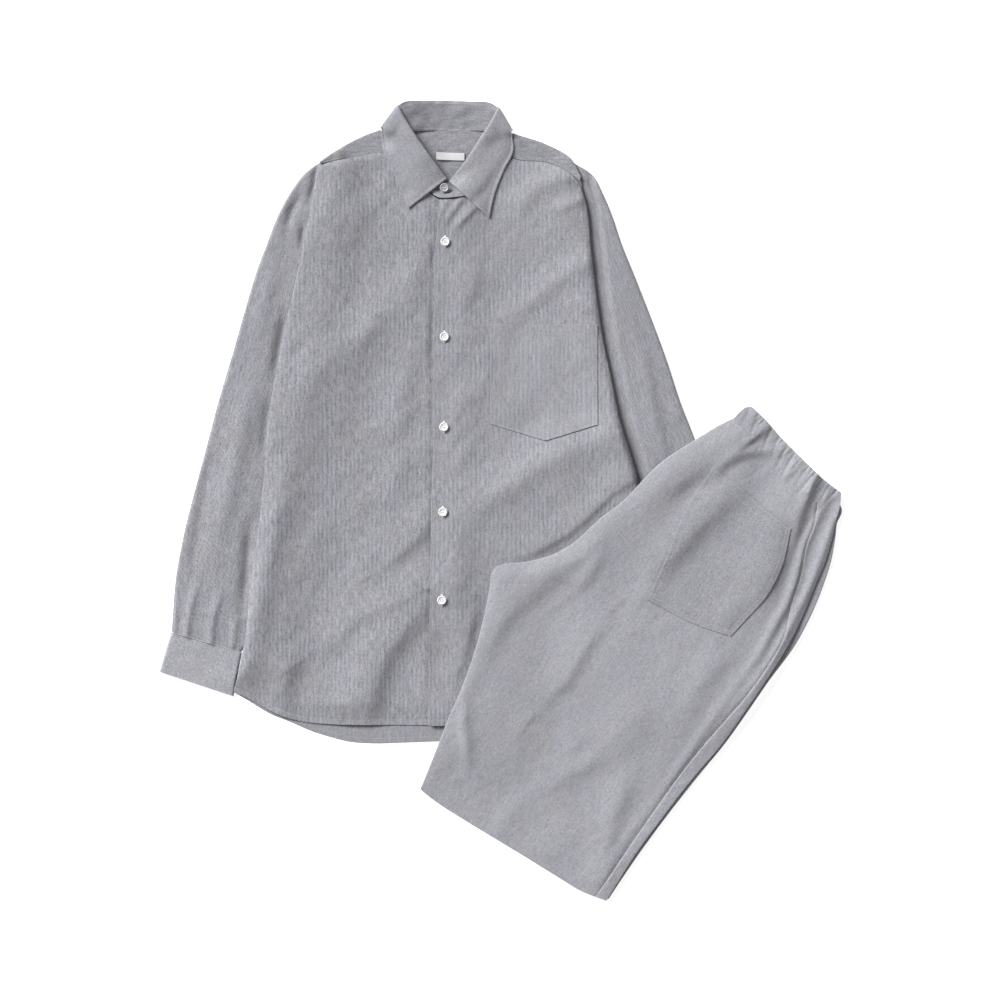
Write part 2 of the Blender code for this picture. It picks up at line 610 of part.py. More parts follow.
def yoke(kind):
    """Yoke: flat inside the back of the neck, turned over both shoulder lines to the front seams. It
    gives the map as it is before the front strips, on which the fronts lie beside them."""
    shoulder_places = np.linspace(0.0, 1.0, 6)
    neck_places = np.linspace(0.0, 1.0, 5)
    fold = np.concatenate([curve(RIGHT_SHOULDER, shoulder_places), curve(NECK_SEAM, neck_places),
                           curve(LEFT_SHOULDER, shoulder_places)])
    seam = np.concatenate([curve(RIGHT_YOKE_SEAM, shoulder_places), curve(NECK_SEAM, neck_places),
                           curve(LEFT_YOKE_SEAM, shoulder_places)])
    columns = len(fold)
    back_x = np.linspace(*BACK_SEAM_ENDS, columns) * MM
    back = np.stack([back_x, np.full(columns, BACK_SEAM_Y * MM)], axis=1)
    at_neck = np.zeros(columns, bool)
    at_neck[len(shoulder_places):-len(shoulder_places)] = True
    radius = (CLOTH + SEAM_GAP + EASE) / 2
    inward = seam - fold
    length = np.linalg.norm(inward, axis=1, keepdims=True)
    inward = np.where(at_neck[:, None], 0.0, inward / np.maximum(length, MM))
    start = fold + inward * radius
    flat = np.array(YOKE_BACK_ROWS)[:, None, None]
    under = back * (1 - flat) + start * flat
    under = with_height(under, resting_height(under, YOKE_SETTLE) + CLOTH / 2)
    press(under + (0, 0, CLOTH / 2))
    ground = height_map.copy()
    low = under[-1, :, 2]
    turn = turned_rows(fold, inward, low, low + 2 * radius, True)
    strip = np.array(YOKE_STRIP_ROWS)[:, None, None]
    front = start * (1 - strip) + seam * strip
    settled = resting_height(front, YOKE_STRIP_SETTLE) + CLOTH / 2
    front = with_height(front, np.maximum(settled, low + 2 * radius))
    middle = np.concatenate([under[:-1], turn, front])
    offset = normals(middle) * CLOTH / 2
    keep = np.ones((middle.shape[0] - 1, columns - 1), bool)
    past_neck = at_neck[:-1] | at_neck[1:]
    keep[len(under) - 1:, past_neck] = False
    lower, upper = middle - offset, middle + offset
    press(front + (0, 0, CLOTH / 2))
    shell("shirt_yoke", lower, upper, kind, keep)
    return ground


def shifted(points, right, up):
    """Outline moved by a seam's gap, in millimetres."""
    return tuple((x + right, y + up) for x, y in points)


def below(points, top):
    """The part of a falling outline that lies under a height, with a point at that height."""
    table = np.array(points, float)
    cut = np.interp(-top, -table[:, 1], table[:, 0])
    return np.concatenate([[(cut, top)], table[table[:, 1] < top]])


def patch(name, surface, outline, kind):
    """Pocket made from a panel's points: the panel's surface cut along a convex outline and raised."""
    rows, columns = surface.shape[:2]
    cut = bmesh.new()
    corners = [cut.verts.new(point) for point in surface.reshape(-1, 3)]
    for triangle in grid_triangles(rows, columns):
        cut.faces.new([corners[index] for index in triangle])
    knots = np.array(outline, float) * MM
    middle = knots.mean(axis=0)
    for start, end in zip(knots, np.roll(knots, -1, axis=0)):
        out = np.array([end[1] - start[1], start[0] - end[0]])
        out = out * np.sign(out @ (start - middle))
        parts = cut.verts[:] + cut.edges[:] + cut.faces[:]
        bmesh.ops.bisect_plane(cut, geom=parts, dist=1e-5, plane_co=(*start, 0.0),
                               plane_no=(*out, 0.0), clear_outer=True)
    bmesh.ops.triangulate(cut, faces=cut.faces[:])
    cut.verts.index_update()
    points = np.array([corner.co[:] for corner in cut.verts])
    triangles = np.array([[corner.index for corner in face.verts] for face in cut.faces])
    cut.free()
    rim = open_edges(triangles)
    shift = len(points)
    p, q = rim[:, 0], rim[:, 1]
    sides = np.concatenate([np.stack([q, p, p + shift], 1), np.stack([q, p + shift, q + shift], 1)])
    upper = points + (0, 0, PATCH_GAP + CLOTH)
    lower = points + (0, 0, PATCH_GAP)
    triangles = np.concatenate([triangles, triangles[:, ::-1] + shift, sides])
    return make_object(name, np.concatenate([upper, lower]), triangles, kind)


def button(name, centre, kind):
    """Button with a raised rim, turned about its own axis and placed where it rests on the cloth."""
    radius = BUTTON_WIDTH / 2
    turns = np.linspace(0, 2 * np.pi, BUTTON_SIDES, endpoint=False)
    spokes = np.stack([np.cos(turns), np.sin(turns)], axis=1)
    place = np.array(centre) * MM
    seat = resting_height(place + radius * spokes, BUTTON_SETTLE).max()
    rings = [with_height(out * radius * spokes, np.full(BUTTON_SIDES, up * BUTTON_THICK))
             for out, up in BUTTON_PROFILE]
    points = np.concatenate([rings[0][:1]] + rings[1:-1] + [rings[-1][:1]])
    spin = np.arange(BUTTON_SIDES)
    following = (spin + 1) % BUTTON_SIDES
    faces = [np.stack([np.zeros(BUTTON_SIDES, int), 1 + following, 1 + spin], 1)]
    for level in range(len(BUTTON_PROFILE) - 3):
        here = 1 + level * BUTTON_SIDES
        above = here + BUTTON_SIDES
        faces.append(np.stack([here + spin, here + following, above + following], 1))
        faces.append(np.stack([here + spin, above + following, above + spin], 1))
    last = len(points) - 1
    inner = last - BUTTON_SIDES
    faces.append(np.stack([inner + spin, inner + following, np.full(BUTTON_SIDES, last)], 1))
    thing = make_object(name, points, np.concatenate(faces), kind)
    thing.location = (*place, seat)
    return thing


def layered_stack(name, xy, thick, kind):
    """Hidden layers as one rounded solid: a draped underside, a soft top and three leaves round its
    edge, which stand out from it in turn."""
    rows, columns = xy.shape[:2]
    low = resting_height(xy, LAYERS_SETTLE)
    lower, upper = with_height(xy, low), with_height(xy, low + thick)
    index = np.arange(rows * columns).reshape(rows, columns)
    loop = np.concatenate([index[0, :-1], index[:-1, -1], index[-1, :0:-1], index[:0:-1, 0]])
    edge_low, edge_high = lower.reshape(-1, 3)[loop], upper.reshape(-1, 3)[loop]
    ahead = np.roll(edge_low[:, :2], -1, axis=0) - np.roll(edge_low[:, :2], 1, axis=0)
    out = np.stack([ahead[:, 1], -ahead[:, 0]], axis=1)
    out = out / np.linalg.norm(out, axis=1, keepdims=True)
    middle = edge_low[:, :2].mean(axis=0)
    if np.sum((edge_low[:, :2] - middle) * out) < 0:
        out = -out
    rings = []
    for up, bulge in LAYERS_EDGE:
        ring = edge_low * (1 - up) + edge_high * up
        ring[:, :2] += out * bulge * LEAF_BULGE
        rings.append(ring)
    count = len(loop)
    spin = np.arange(count)
    following = (spin + 1) % count
    shift = rows * columns
    top = grid_triangles(rows, columns)
    names = [loop] + [2 * shift + level * count + spin for level in range(len(rings))] + [loop + shift]
    sides = []
    for here, above in zip(names[:-1], names[1:]):
        sides.append(np.stack([here[spin], here[following], above[following]], 1))
        sides.append(np.stack([here[spin], above[following], above[spin]], 1))
    points = np.concatenate([lower.reshape(-1, 3), upper.reshape(-1, 3)] + rings)
    sides = np.concatenate(sides)
    first = sides[0]
    flip = np.cross(points[first[1]] - points[first[0]], points[first[2]] - points[first[0]])[:2] @ out[0]
    if flip < 0:
        sides = sides[:, ::-1]
    rises = np.cross(points[top[0, 1]] - points[top[0, 0]], points[top[0, 2]] - points[top[0, 0]])[2]
    if rises < 0:
        top = top[:, ::-1]
    press(upper)
    return make_object(name, points, np.concatenate([top + shift, top[:, ::-1], sides]), kind)


def shirt():
    """Shirt, from the sleeves and the back up to the collar and the buttons."""
    leaf_rows = (COLLAR_RIGHT, COLLAR_RIGHT_TURN, COLLAR_BACK, COLLAR_LEFT_TURN, COLLAR_LEFT)
    stand_rows = (STAND_UNDER, STAND_RIGHT_TURN, STAND_BACK, STAND_LEFT_TURN, STAND_OVER)
    beneath = np.array((COLLAR_RIGHT_TURN,) + COLLAR_BACK + (COLLAR_LEFT_TURN,), float) * MM
    press(np.stack([with_height(beneath[:, :2], np.full(len(beneath), CLOTH)),
                    with_height(beneath[:, 2:], np.full(len(beneath), CLOTH))]))
    flat_tube("shirt_right_sleeve", RIGHT_SLEEVE, 17, sleeve_thickness(RIGHT_SIDE, -1), COTTON)
    flat_tube("shirt_left_sleeve", LEFT_SLEEVE, 17, sleeve_thickness(LEFT_SIDE, 1), COTTON)
    ground = yoke(COTTON)
    corners = np.array(LABEL, float) * MM
    u, v = np.linspace(0, 1, 6)[None, :, None], np.linspace(0, 1, 2)[:, None, None]
    xy = ((1 - v) * ((1 - u) * corners[0] + u * corners[3])
          + v * ((1 - u) * corners[1] + u * corners[2]))
    lay("shirt_neck_label", xy, 0.0, LABEL_SETTLE, TAPE, wall=LABEL_WALL)

    top = BACK_SEAM_Y - SEAM_GAP / MM
    first, last = BACK_SEAM_ENDS
    seam = ((first, top), ((first + last) / 2, top), (last, top))
    xy = panel(seam, BACK_HEM, below(RIGHT_SIDE, top), below(LEFT_SIDE, top), BACK_ACROSS,
               np.linspace(0.0, 1.0, 20))
    back = lay("shirt_back", xy, 0.0, BACK_SETTLE, COTTON, ground)
    ground = np.maximum(ground, map_of(back))

    xy = panel(RIGHT_FRONT_TOP, RIGHT_FRONT_HEM, RIGHT_SIDE, BUTTON_STAND_EDGE, RIGHT_FRONT_ACROSS,
               BODY_DOWN)
    ease = side_ease(xy, SHIRT_FOLDS, EASE_MOST, RIGHT_SIDE)
    under_front = lay("shirt_right_front", xy, ease, PANEL_SETTLE, COTTON, ground)
    ground = np.maximum(ground, map_of(under_front))

    xy = panel(LEFT_FRONT_TOP, LEFT_FRONT_HEM, FRONT_EDGE, LEFT_SIDE, LEFT_FRONT_ACROSS, BODY_DOWN)
    gap, _ = distance_to_path(xy, FRONT_EDGE)
    ease = side_ease(xy, SHIRT_FOLDS, EASE_MOST, LEFT_SIDE) * ease_in(gap / PLACKET_FADE)
    over_front = lay("shirt_left_front", xy, ease, PANEL_SETTLE, COTTON, ground)

    band("shirt_collar_stand", stand_rows, 3, 1.5 * CLOTH + SEAM_GAP, STAND_LIFT, COTTON)
    for number, centre in enumerate(BUTTONS, start=1):
        button(f"shirt_button_{number}", centre, PEARLY)
    band("shirt_collar", leaf_rows, 5, 0.5 * CLOTH, COLLAR_LIFT, COTTON)
    patch("shirt_chest_pocket", over_front, CHEST_POCKET, COTTON)


def cuffs():
    """Cuffs, short tubes past the sleeves' ends."""
    for name, sections in (("shirt_right_cuff", RIGHT_CUFF), ("shirt_left_cuff", LEFT_CUFF)):
        flat_tube(name, sections, 3, lambda xy: np.full(xy.shape[:-1], CUFF_THICK), COTTON)


def shorts():
    """Shorts: the hidden layers, then the upper leg's back and front and the waistband, sewn side by
    side, then the pocket."""
    xy = panel(STACK_WAIST, STACK_HEM, STACK_RISE, STACK_SIDE, LAYERS_ACROSS, LAYERS_DOWN)
    layered_stack("shorts_layers", xy, SHORTS_STACK, COTTON)
    ground = height_map.copy()

    seam_start, waist_end = SIDE_SEAM[0], WAIST_SEAM[-1]
    back_waist = tuple(point for point in WAIST_SEAM if point[0] < seam_start[0]) + (seam_start,)
    xy = panel(back_waist, BACK_LEG_HEM, RISE_AND_INSEAM, SIDE_SEAM, BACK_LEG_ACROSS, LEG_DOWN)
    ease = side_ease(xy, SHORTS_FOLDS, SHORTS_EASE_MOST, RISE_AND_INSEAM)
    back_leg = lay("shorts_back_leg", xy, ease, PANEL_SETTLE, COTTON, ground)

    front_seam = shifted(SIDE_SEAM, 0.35, 0.2)
    midway = ((seam_start[0] + waist_end[0]) / 2, (seam_start[1] + waist_end[1]) / 2)
    xy = panel((front_seam[0], midway, waist_end), FRONT_LEG_HEM, front_seam, UPPER_LEG_SIDE,
               FRONT_LEG_ACROSS, LEG_DOWN)
    ease = side_ease(xy, SHORTS_FOLDS, SHORTS_EASE_MOST, UPPER_LEG_SIDE)
    lay("shorts_front_leg", xy, ease, PANEL_SETTLE, COTTON, ground)

    across = np.linspace(0.0, 1.0, 4 * GATHERS + 1)
    xy = panel(WAIST_EDGE, shifted(WAIST_SEAM, 0.3, 0.4), WAISTBAND_RISE_END, WAISTBAND_SIDE_END, across,
               WAISTBAND_DOWN)
    wave = 0.5 - 0.5 * np.cos(2 * np.pi * GATHERS * across)
    ease = WAISTBAND_SEAT + GATHER_RISE * wave[None, :] + np.array(WAISTBAND_SHAPE)[:, None]
    lay("shorts_waistband", xy, ease, WAISTBAND_SETTLE, COTTON, ground)
    patch("shorts_pocket", back_leg, SHORTS_POCKET, COTTON)


def main():
    """Lay the pieces from the floor up."""
    clear_scene()
    shirt()
    cuffs()
    shorts()


main()
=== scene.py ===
"""Finished look of the pyjama set: a striped cotton shirt laid face up with folded shorts on it.

Every cloth piece is a thin shell on a fine grid. Its outline keeps within a few millimetres of its
solid's, and its height comes from a running map of what already lies beneath it, plus its own folds.
"""

import bpy
import numpy as np
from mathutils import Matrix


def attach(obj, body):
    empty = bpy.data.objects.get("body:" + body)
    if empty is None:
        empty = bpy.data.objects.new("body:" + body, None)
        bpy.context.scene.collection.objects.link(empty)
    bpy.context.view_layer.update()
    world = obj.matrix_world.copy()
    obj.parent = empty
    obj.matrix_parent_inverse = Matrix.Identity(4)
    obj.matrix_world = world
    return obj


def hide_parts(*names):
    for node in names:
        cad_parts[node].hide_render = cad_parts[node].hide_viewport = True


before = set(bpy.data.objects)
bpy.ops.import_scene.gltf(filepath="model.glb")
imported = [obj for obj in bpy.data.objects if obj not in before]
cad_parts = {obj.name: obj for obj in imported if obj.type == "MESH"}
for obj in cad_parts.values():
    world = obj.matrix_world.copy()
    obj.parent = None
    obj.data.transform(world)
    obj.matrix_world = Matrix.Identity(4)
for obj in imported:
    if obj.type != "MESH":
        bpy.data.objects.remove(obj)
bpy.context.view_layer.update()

# Sizes in metres, with the counts and shares that go with them
MM = 0.001
CLOTH = 0.55 * MM           # wall of one cloth layer
GAP = 0.3 * MM              # between pieces that touch
RIM_BULGE = 0.35            # how far a shell's rim stands out, as a share of its wall
EASE = 2.2 * MM             # how far a panel stands clear of the one beneath
STEP = 2.3 * MM             # spacing of the grids
WAVE_COUNT = 26             # straight waves in each sum of them
SLEEVE_THICK = 6.5 * MM     # flattened sleeve beside the body
SLEEVE_PRESSED = 2.4 * MM   # flattened sleeve under the body
LEAST_SLEEVE = 1.4 * MM     # what a trough leaves of a sleeve, and how far a fold rises over it
SLEEVE_RISE = 6.0 * MM
TUBE_EDGE = 0.45            # height at which a flattened tube's edge closes, as a share of it
TURN_REACH = 2.0 * MM       # how far a collar's turn reaches sideways
LEAST_TURN = 2.5 * MM       # least height of a collar's turn
BAND_DEPTH = 42 * MM        # from a collar's root to its edge
FRONT_ROWS = 58             # rows of the collar's grids along a front, and along the back
BACK_ROWS = 64
YOKE_SHOULDER = 44          # columns of the yoke's grid along each shoulder, and along the neck
YOKE_NECK = 62
YOKE_UNDER = 46             # its rows in the part that lies flat, and in the strips at the front
YOKE_STRIP = 16
BACK_CLIMB = (11.0 * MM, 5.5 * MM)  # how far the back of the collar climbs to each turn
SHADED_STRIP = 13 * MM      # channel in the left sleeve beside the body
CUFF_THICK = 5.6 * MM
SHORTS_STACK = 6.0 * MM     # hidden layers of the folded shorts
BUTTON_WIDTH = 11.4 * MM
BUTTON_THICK = 2.4 * MM
HOLE_PLACE = 1.15 * MM      # of a button's hole from its middle, in X and in Y
HOLE_RADIUS = 0.95 * MM
STITCH_PITCH = 3.0 * MM
STRIPE_PITCH = 5.6 * MM     # broad stripes that the fine ones build up
HAIRLINE_PITCH = 1.4 * MM   # fine stripes of the cloth

# Stage, in metres: the floor's half width and height, and the camera's height, the middle of its
# view and the width that it shows
FLOOR_REACH = 6.0
FLOOR_HEIGHT = -0.0004
CAMERA_HEIGHT = 5.0
VIEW_MIDDLE = (-0.0006, 0.0)
VIEW_WIDTH = 1.25
SENSOR_WIDTH = 36.0         # millimetres
KEY_TURN = (-33.4, -46.9, 0.0)  # degrees

# Yarns of the cloth, as shares of its tone, and its cast, which drifts between grey and blue
DARK_YARN = (0.50, 0.505, 0.56)
PALE_YARN = (1.50, 1.495, 1.44)
GREY_CAST = (1.012, 1.012, 0.985, 1.0)
BLUE_CAST = (0.985, 0.985, 1.03, 1.0)

# Angles in degrees: where faces meet in a crisp edge, and the stripes of the turned shorts
SHARP_CLOTH = 62
SHARP_BUTTON = 50
SHORTS_TURN = -35.7
WAIST_TURN = -41

# The map of heights: its cell, the corner it starts from, and its rows and columns
CELL = 1.25 * MM
MAP_START = np.array((-0.47, -0.55))
MAP_SHAPE = (880, 752)

# Outline of the shirt, as X, Y in millimetres
RIGHT_SIDE = ((-228, 415), (-237, 362), (-251, 294), (-266, 225), (-279, 162), (-288, 110),
              (-293, 50), (-298, 0), (-304, -55), (-312, -112), (-321, -188), (-333, -240))
LEFT_SIDE = ((100, 392), (106, 372), (113, 312), (121, 245), (128, 200), (136, 162), (149, 100),
             (171, 25), (181, -50), (189, -125), (197, -188), (206, -240))
BACK_HEM = ((-333, -240), (-313, -252), (-288, -267), (-263, -277), (-238, -288), (-213, -296),
            (-188, -302), (-160, -304), (-120, -303), (-60, -301), (0, -301), (50, -298),
            (100, -287), (150, -266), (187, -249), (206, -240))
RIGHT_FRONT_HEM = ((-333, -240), (-313, -249), (-288, -263), (-263, -273), (-238, -278),
                   (-213, -280), (-163, -281), (-120, -281), (-61, -282))
LEFT_FRONT_HEM = ((-90, -282), (-60, -282), (0, -281), (50, -279), (100, -272), (150, -257),
                  (187, -245), (206, -240))
FRONT_EDGE = ((-76, 375), (-78, 344), (-83, 297), (-82, 250), (-83, 175), (-83, 87), (-86, 0),
              (-88, -125), (-89, -188), (-90, -282))
BUTTON_STAND_EDGE = ((-54, 375), (-58, 250), (-60, 0), (-61, -282))
RIGHT_FRONT_TOP = ((-228, 415), (-221, 418.5), (-188, 426.6), (-147, 433.6), (-133, 434),
                   (-107, 406), (-88, 383), (-76, 375), (-54, 375))
LEFT_FRONT_TOP = ((-76, 375), (-69, 375), (-57, 376), (-47, 380), (-37, 388), (-22, 409),
                  (-6, 432), (4, 432), (17, 426), (62, 420), (86, 408), (100, 392))

# The yoke: where it turns over at the shoulders, its seams, and the neck seam between them
BACK_SEAM_Y = 356
BACK_SEAM_ENDS = (-238, 107)
RIGHT_SHOULDER = ((-226, 422), (-192, 444.5), (-172, 454.5), (-150, 462.5))
LEFT_SHOULDER = ((15, 458), (58, 444), (89, 425), (100, 404))
RIGHT_YOKE_SEAM = ((-225, 420), (-188, 427.5), (-147, 434.5), (-134, 436))
LEFT_YOKE_SEAM = ((5, 433), (17, 427), (62, 421), (86, 409), (99, 398))
NECK_SEAM = ((-138, 460), (-119, 462.5), (-63, 463), (-18, 462.5), (7, 459))

# Sleeves, a row for each section: the outer fold and the fold under the body
RIGHT_SLEEVE = (
    # outer x, outer y, inner x, inner y
    (-221, 425, -238, 318),
    (-243, 409.5, -231, 268),
    (-262, 385, -229, 212),
    (-278, 356, -229, 166),
    (-290, 325, -232, 122),
    (-304, 288, -236, 80),
    (-320, 235, -242, 38),
    (-335, 182, -249, -4),
    (-352, 125, -258, -44),
    (-367, 68, -267, -82),
    (-382, 12, -278, -116),
    (-396, -44, -289, -143),
    (-406, -100, -304, -166),
    (-409, -137, -315, -179),
    (-411, -165, -324, -190),
)
LEFT_SLEEVE = (
    (92, 421, 97, 318),
    (113, 408, 90, 268),
    (130, 378, 90, 212),
    (140, 354, 94, 166),
    (151, 321, 99, 122),
    (166, 284, 105, 80),
    (188, 228, 113, 38),
    (207, 177, 122, -4),
    (225, 122, 133, -44),
    (244, 72, 144, -82),
    (258, 12, 155, -116),
    (273, -44, 167, -143),
    (283, -100, 182, -166),
    (286, -137, 193, -179),
    (288, -165, 203, -190),
)
RIGHT_CUFF = (
    (-411.4, -165.6, -322.8, -191.1),
    (-419, -190, -327.9, -215.6),
    (-426, -214.5, -333.4, -245),
)
LEFT_CUFF = (
    (288.4, -165.6, 203.6, -190.6),
    (296, -190, 208, -215),
    (303, -214, 213, -240),
)

# Collar leaf, a row for each section from the fold line at its root to its outer edge
COLLAR_RIGHT = (
    # root x, root y, edge x, edge y
    (-67, 401, -115, 364),
    (-85, 425, -127, 394),
    (-102, 449, -138, 418),
    (-117, 472, -147, 440),
)
COLLAR_RIGHT_TURN = (-130, 491, -150, 464)
COLLAR_BACK = (
    (-119, 497, -128, 453),
    (-92, 499, -94, 450),
    (-66, 499, -66, 449),
    (-40, 498, -38, 450),
    (-13, 496, -6, 453),
)
COLLAR_LEFT_TURN = (-1, 489, 15, 461.5)
COLLAR_LEFT = (
    (-14, 469, 16, 437),
    (-29, 446, 4, 411),
    (-44, 423, -7, 383),
    (-64, 398, -14, 352),
)

# Collar stand, a row for each section from its root at the collar fold to the neck seam
STAND_UNDER = (
    # root x, root y, seam x, seam y
    (-56, 390, -58, 377.5),
    (-68, 395, -75, 377),
    (-82, 417, -93, 391),
    (-98, 440, -112, 417),
    (-113, 462, -129, 439),
)
STAND_RIGHT_TURN = (-126, 485, -141, 466)
STAND_BACK = (
    (-117, 491, -119, 461.4),
    (-90, 494, -90, 461.4),
    (-66, 495, -63, 461.4),
    (-40, 494, -35, 461.4),
    (-14, 490, -8, 461.4),
)
STAND_LEFT_TURN = (-5, 484, 11, 465)
STAND_OVER = (
    (-18, 460, -1, 438),
    (-33, 437, -17, 413),
    (-48, 414, -32, 391),
    (-61, 398, -48, 379),
    (-72, 396, -66, 379),
    (-78, 392, -77, 384.5),
)

# Shorts, folded in half along the centre and turned on the shirt, as X, Y in millimetres
WAIST_EDGE = ((305, 115.5), (312, 116.5), (320, 110), (354, 73.5), (384, 43.5), (401, 27.5), (425, 9))
WAIST_SEAM = ((291, 102), (314, 75), (343, 46), (374, 16), (399, -6), (419, -25))
RISE_AND_INSEAM = ((291, 102), (274, 94), (249, 79), (199, 46), (149, -4), (124, -23), (87, -56),
                   (62, -69), (37, -76), (-9, -87), (-14, -112), (-19, -138), (-32, -188),
                   (-50, -238), (-66, -275), (-78, -306), (-100, -361))
SIDE_SEAM = ((395, -2.5), (394, -14), (391, -30), (381, -56), (374, -94), (362, -131), (353, -171),
             (337, -200), (306, -244), (274, -281), (237, -325), (187, -394), (118, -495))
UPPER_LEG_SIDE = ((419, -25), (416, -38), (406, -75), (393, -106), (380, -138), (362, -175),
                  (331, -225), (306, -262), (275, -306), (241, -346), (203, -395), (170, -440),
                  (132, -500))
BACK_LEG_HEM = ((-100, -361), (-93, -367), (-76, -379.5), (-38, -403.5), (0, -426.5), (37, -449), (74, -472),
                (99, -487), (118, -495))
FRONT_LEG_HEM = ((118.6, -495.2), (132, -500))
STACK_RISE = ((303, 108), (277, 92), (249, 75), (199, 42), (149, -7), (124, -26), (87, -59),
              (62, -72), (37, -79), (-6, -90), (-11, -112), (-16, -138), (-29, -188), (-47, -238),
              (-63, -275), (-75, -306), (-97, -360))
STACK_WAIST = ((303, 108), (317, 107), (350, 74), (378, 46), (403, 23), (421, 6))
STACK_SIDE = ((421, 6), (422, -4), (425, -13), (419, -28), (417, -46), (412, -75), (402, -106),
              (389, -138), (370, -175), (334, -225), (308.5, -262), (277, -306), (244, -346),
              (206, -395), (172.5, -440), (134, -497))
STACK_HEM = ((-97, -360), (-75, -377), (-38, -400), (0, -423), (37, -445), (74, -468), (99, -483),
             (134, -497))

# Patches: the shirt's chest pocket, the shorts' pocket and the neck label
CHEST_TOP = ((-13, 219), (121, 219))
CHEST_BOTTOM = ((-13, 95), (56, 74), (121, 94))
POCKET_TOP = ((265, 40), (300, 16), (325, -6), (362, -36))
POCKET_BOTTOM = ((183, -124), (208, -138), (240, -154), (287, -170))
POCKET_INNER = ((265, 40), (237, 0), (200, -86), (183, -124))
POCKET_OUTER = ((362, -36), (350, -85), (331, -121), (307, -148), (287, -170))
LABEL = ((-80, 434), (-80, 425), (-45, 424), (-45, 433))

# Button centres in millimetres: the first on the stand, the others down the front edge
BUTTONS = ((-70, 389.5), (-69, 322.5), (-70, 203.8), (-70.6, 91.2), (-71.9, -15), (-73.1, -125))

# Folds. Each is a ridge, or a trough where its rise is below nothing, along a path in millimetres.
# Its widths are on the left and the right of the path's travel, and its ends are shares of the rise.
RIGHT_FRONT_FOLDS = (
    # path, left width, right width, rise, start, end
    (((-96, -125), (-123, -162), (-146, -192), (-158, -225), (-166, -256), (-168, -280)),
     18, 45, 8.6, 0.45, 0.9),
    (((-111, -118), (-153, -130), (-186, -150), (-208, -175), (-236, -194)), 13, 40, 3.6, 0.4, 0.3),
    (((-246, -190), (-267, -215), (-274, -244), (-272, -270)), 14, 20, 5.6, 0.3, 1.0),
    (((-268, 38), (-278, -12), (-288, -62), (-298, -112), (-306, -162), (-313, -205)),
     17, 15, 5.4, 0.3, 0.5),
    (((-123, 269), (-151, 235), (-178, 202), (-207, 178), (-232, 150), (-251, 112), (-263, 75)),
     38, 30, 4.6, 0.3, 0.4),
    (((-141, 230), (-166, 208), (-183, 181)), 9, 16, 1.5, 0.4, 0.4),
    (((-111, 185), (-122, 140), (-128, 100), (-133, 56)), 15, 17, 2.4, 0.3, 0.3),
    (((-99, 312), (-112, 269), (-117, 222)), 15, 16, 2.2, 0.4, 0.3),
    (((-207, 412), (-214, 375), (-222, 331)), 28, 12, 2.8, 0.5, 0.2),
    (((-128, 382), (-146, 358), (-168, 320)), 22, 13, -1.8, 0.7, 0.2),
    (((-86, -16), (-101, -41), (-119, -59), (-138, -76), (-156, -90)), 10, 28, 3.2, 0.4, 0.3),
    (((-159, 12), (-182, -15), (-196, -52)), 14, 20, 1.9, 0.3, 0.3),
    (((-213, -19), (-234, -50), (-251, -88)), 14, 16, 2.2, 0.3, 0.3),
    (((-121, 60), (-128, 38), (-136, 15)), 9, 16, 1.4, 0.4, 0.4),
    (((-99, 368), (-91, 349), (-83, 330)), 6, 12, 2.4, 0.7, 0.5),
    (((-94, -175), (-96, -238), (-96, -278)), 9, 12, 1.4, 0.3, 0.5),
    (((-82.5, 318), (-83, 262), (-83.9, 125), (-84, -75), (-87, -238)), 3, 4.5, -1.2, 0.6, 0.4),
    (((-82.4, 312), (-82.7, 292)), 3, 5, -1.5, 0.5, 0.5),
    (((-82.9, 240), (-83.4, 202), (-83.6, 165)), 3, 6, -2.0, 0.6, 0.6),
)
# The ridge that the shorts push up in the left front: a narrow fold along the crest of a broad one
PUSHED_RIDGE = ((134, 80), (97, 66), (66, 51), (37, 34), (14, 16), (-11, 2), (-28, -19), (-46, -46))
LEFT_FRONT_FOLDS = (
    # path, left width, right width, rise, start, end
    (PUSHED_RIDGE, 18, 17, 3.4, 0.7, 0.2),
    (PUSHED_RIDGE, 62, 30, 5.2, 0.9, 0.3),
    (((114, 299), (78, 281), (56, 262), (34, 246), (14, 230), (-1, 219)), 13, 15, 2.8, 0.8, 0.3),
    (((77, 246), (97, 245), (114, 236)), 8, 9, 1.2, 0.3, 0.6),
    (((99, 420), (66, 401), (44, 390), (27, 371), (13, 351)), 14, 15, 3.4, 0.6, 0.2),
    (((112, 418), (91, 406), (76, 394)), 8, 9, 2.4, 0.9, 0.3),
    (((109, 379), (86, 369), (66, 362)), 7, 8, 2.0, 0.8, 0.2),
    (((-28, 302), (-38, 262), (-54, 228)), 12, 16, 1.4, 0.3, 0.3),
    (((-18, 200), (-17, 169), (-21, 135)), 8, 16, 1.6, 0.3, 0.3),
    (((-2, 215), (1, 188), (3, 165)), 5, 8, 0.9, 0.3, 0.3),
    (((124, 104), (106, 99), (87, 91)), 6, 6, 1.1, 0.5, 0.3),
    (((-33, -132), (-41, -169), (-49, -205)), 7, 22, 3.2, 0.3, 0.5),
    (((167, 28), (139, 10), (114, -15), (82, -42), (49, -61), (14, -72)), 6, 20, 3.0, 0.8, 0.4),
    (((-64, 376), (-74, 360), (-79, 342)), 5, 6, 2.0, 0.8, 0.3),
    (((-48, 376), (-61, 359), (-71, 340)), 4, 6, 2.2, 0.8, 0.3),
    (((-31, 365), (-47, 350), (-59, 336)), 4, 6, 2.2, 0.8, 0.3),
    (((-47, -56), (-56, -100), (-61, -150)), 14, 20, 1.2, 0.2, 0.2),
)
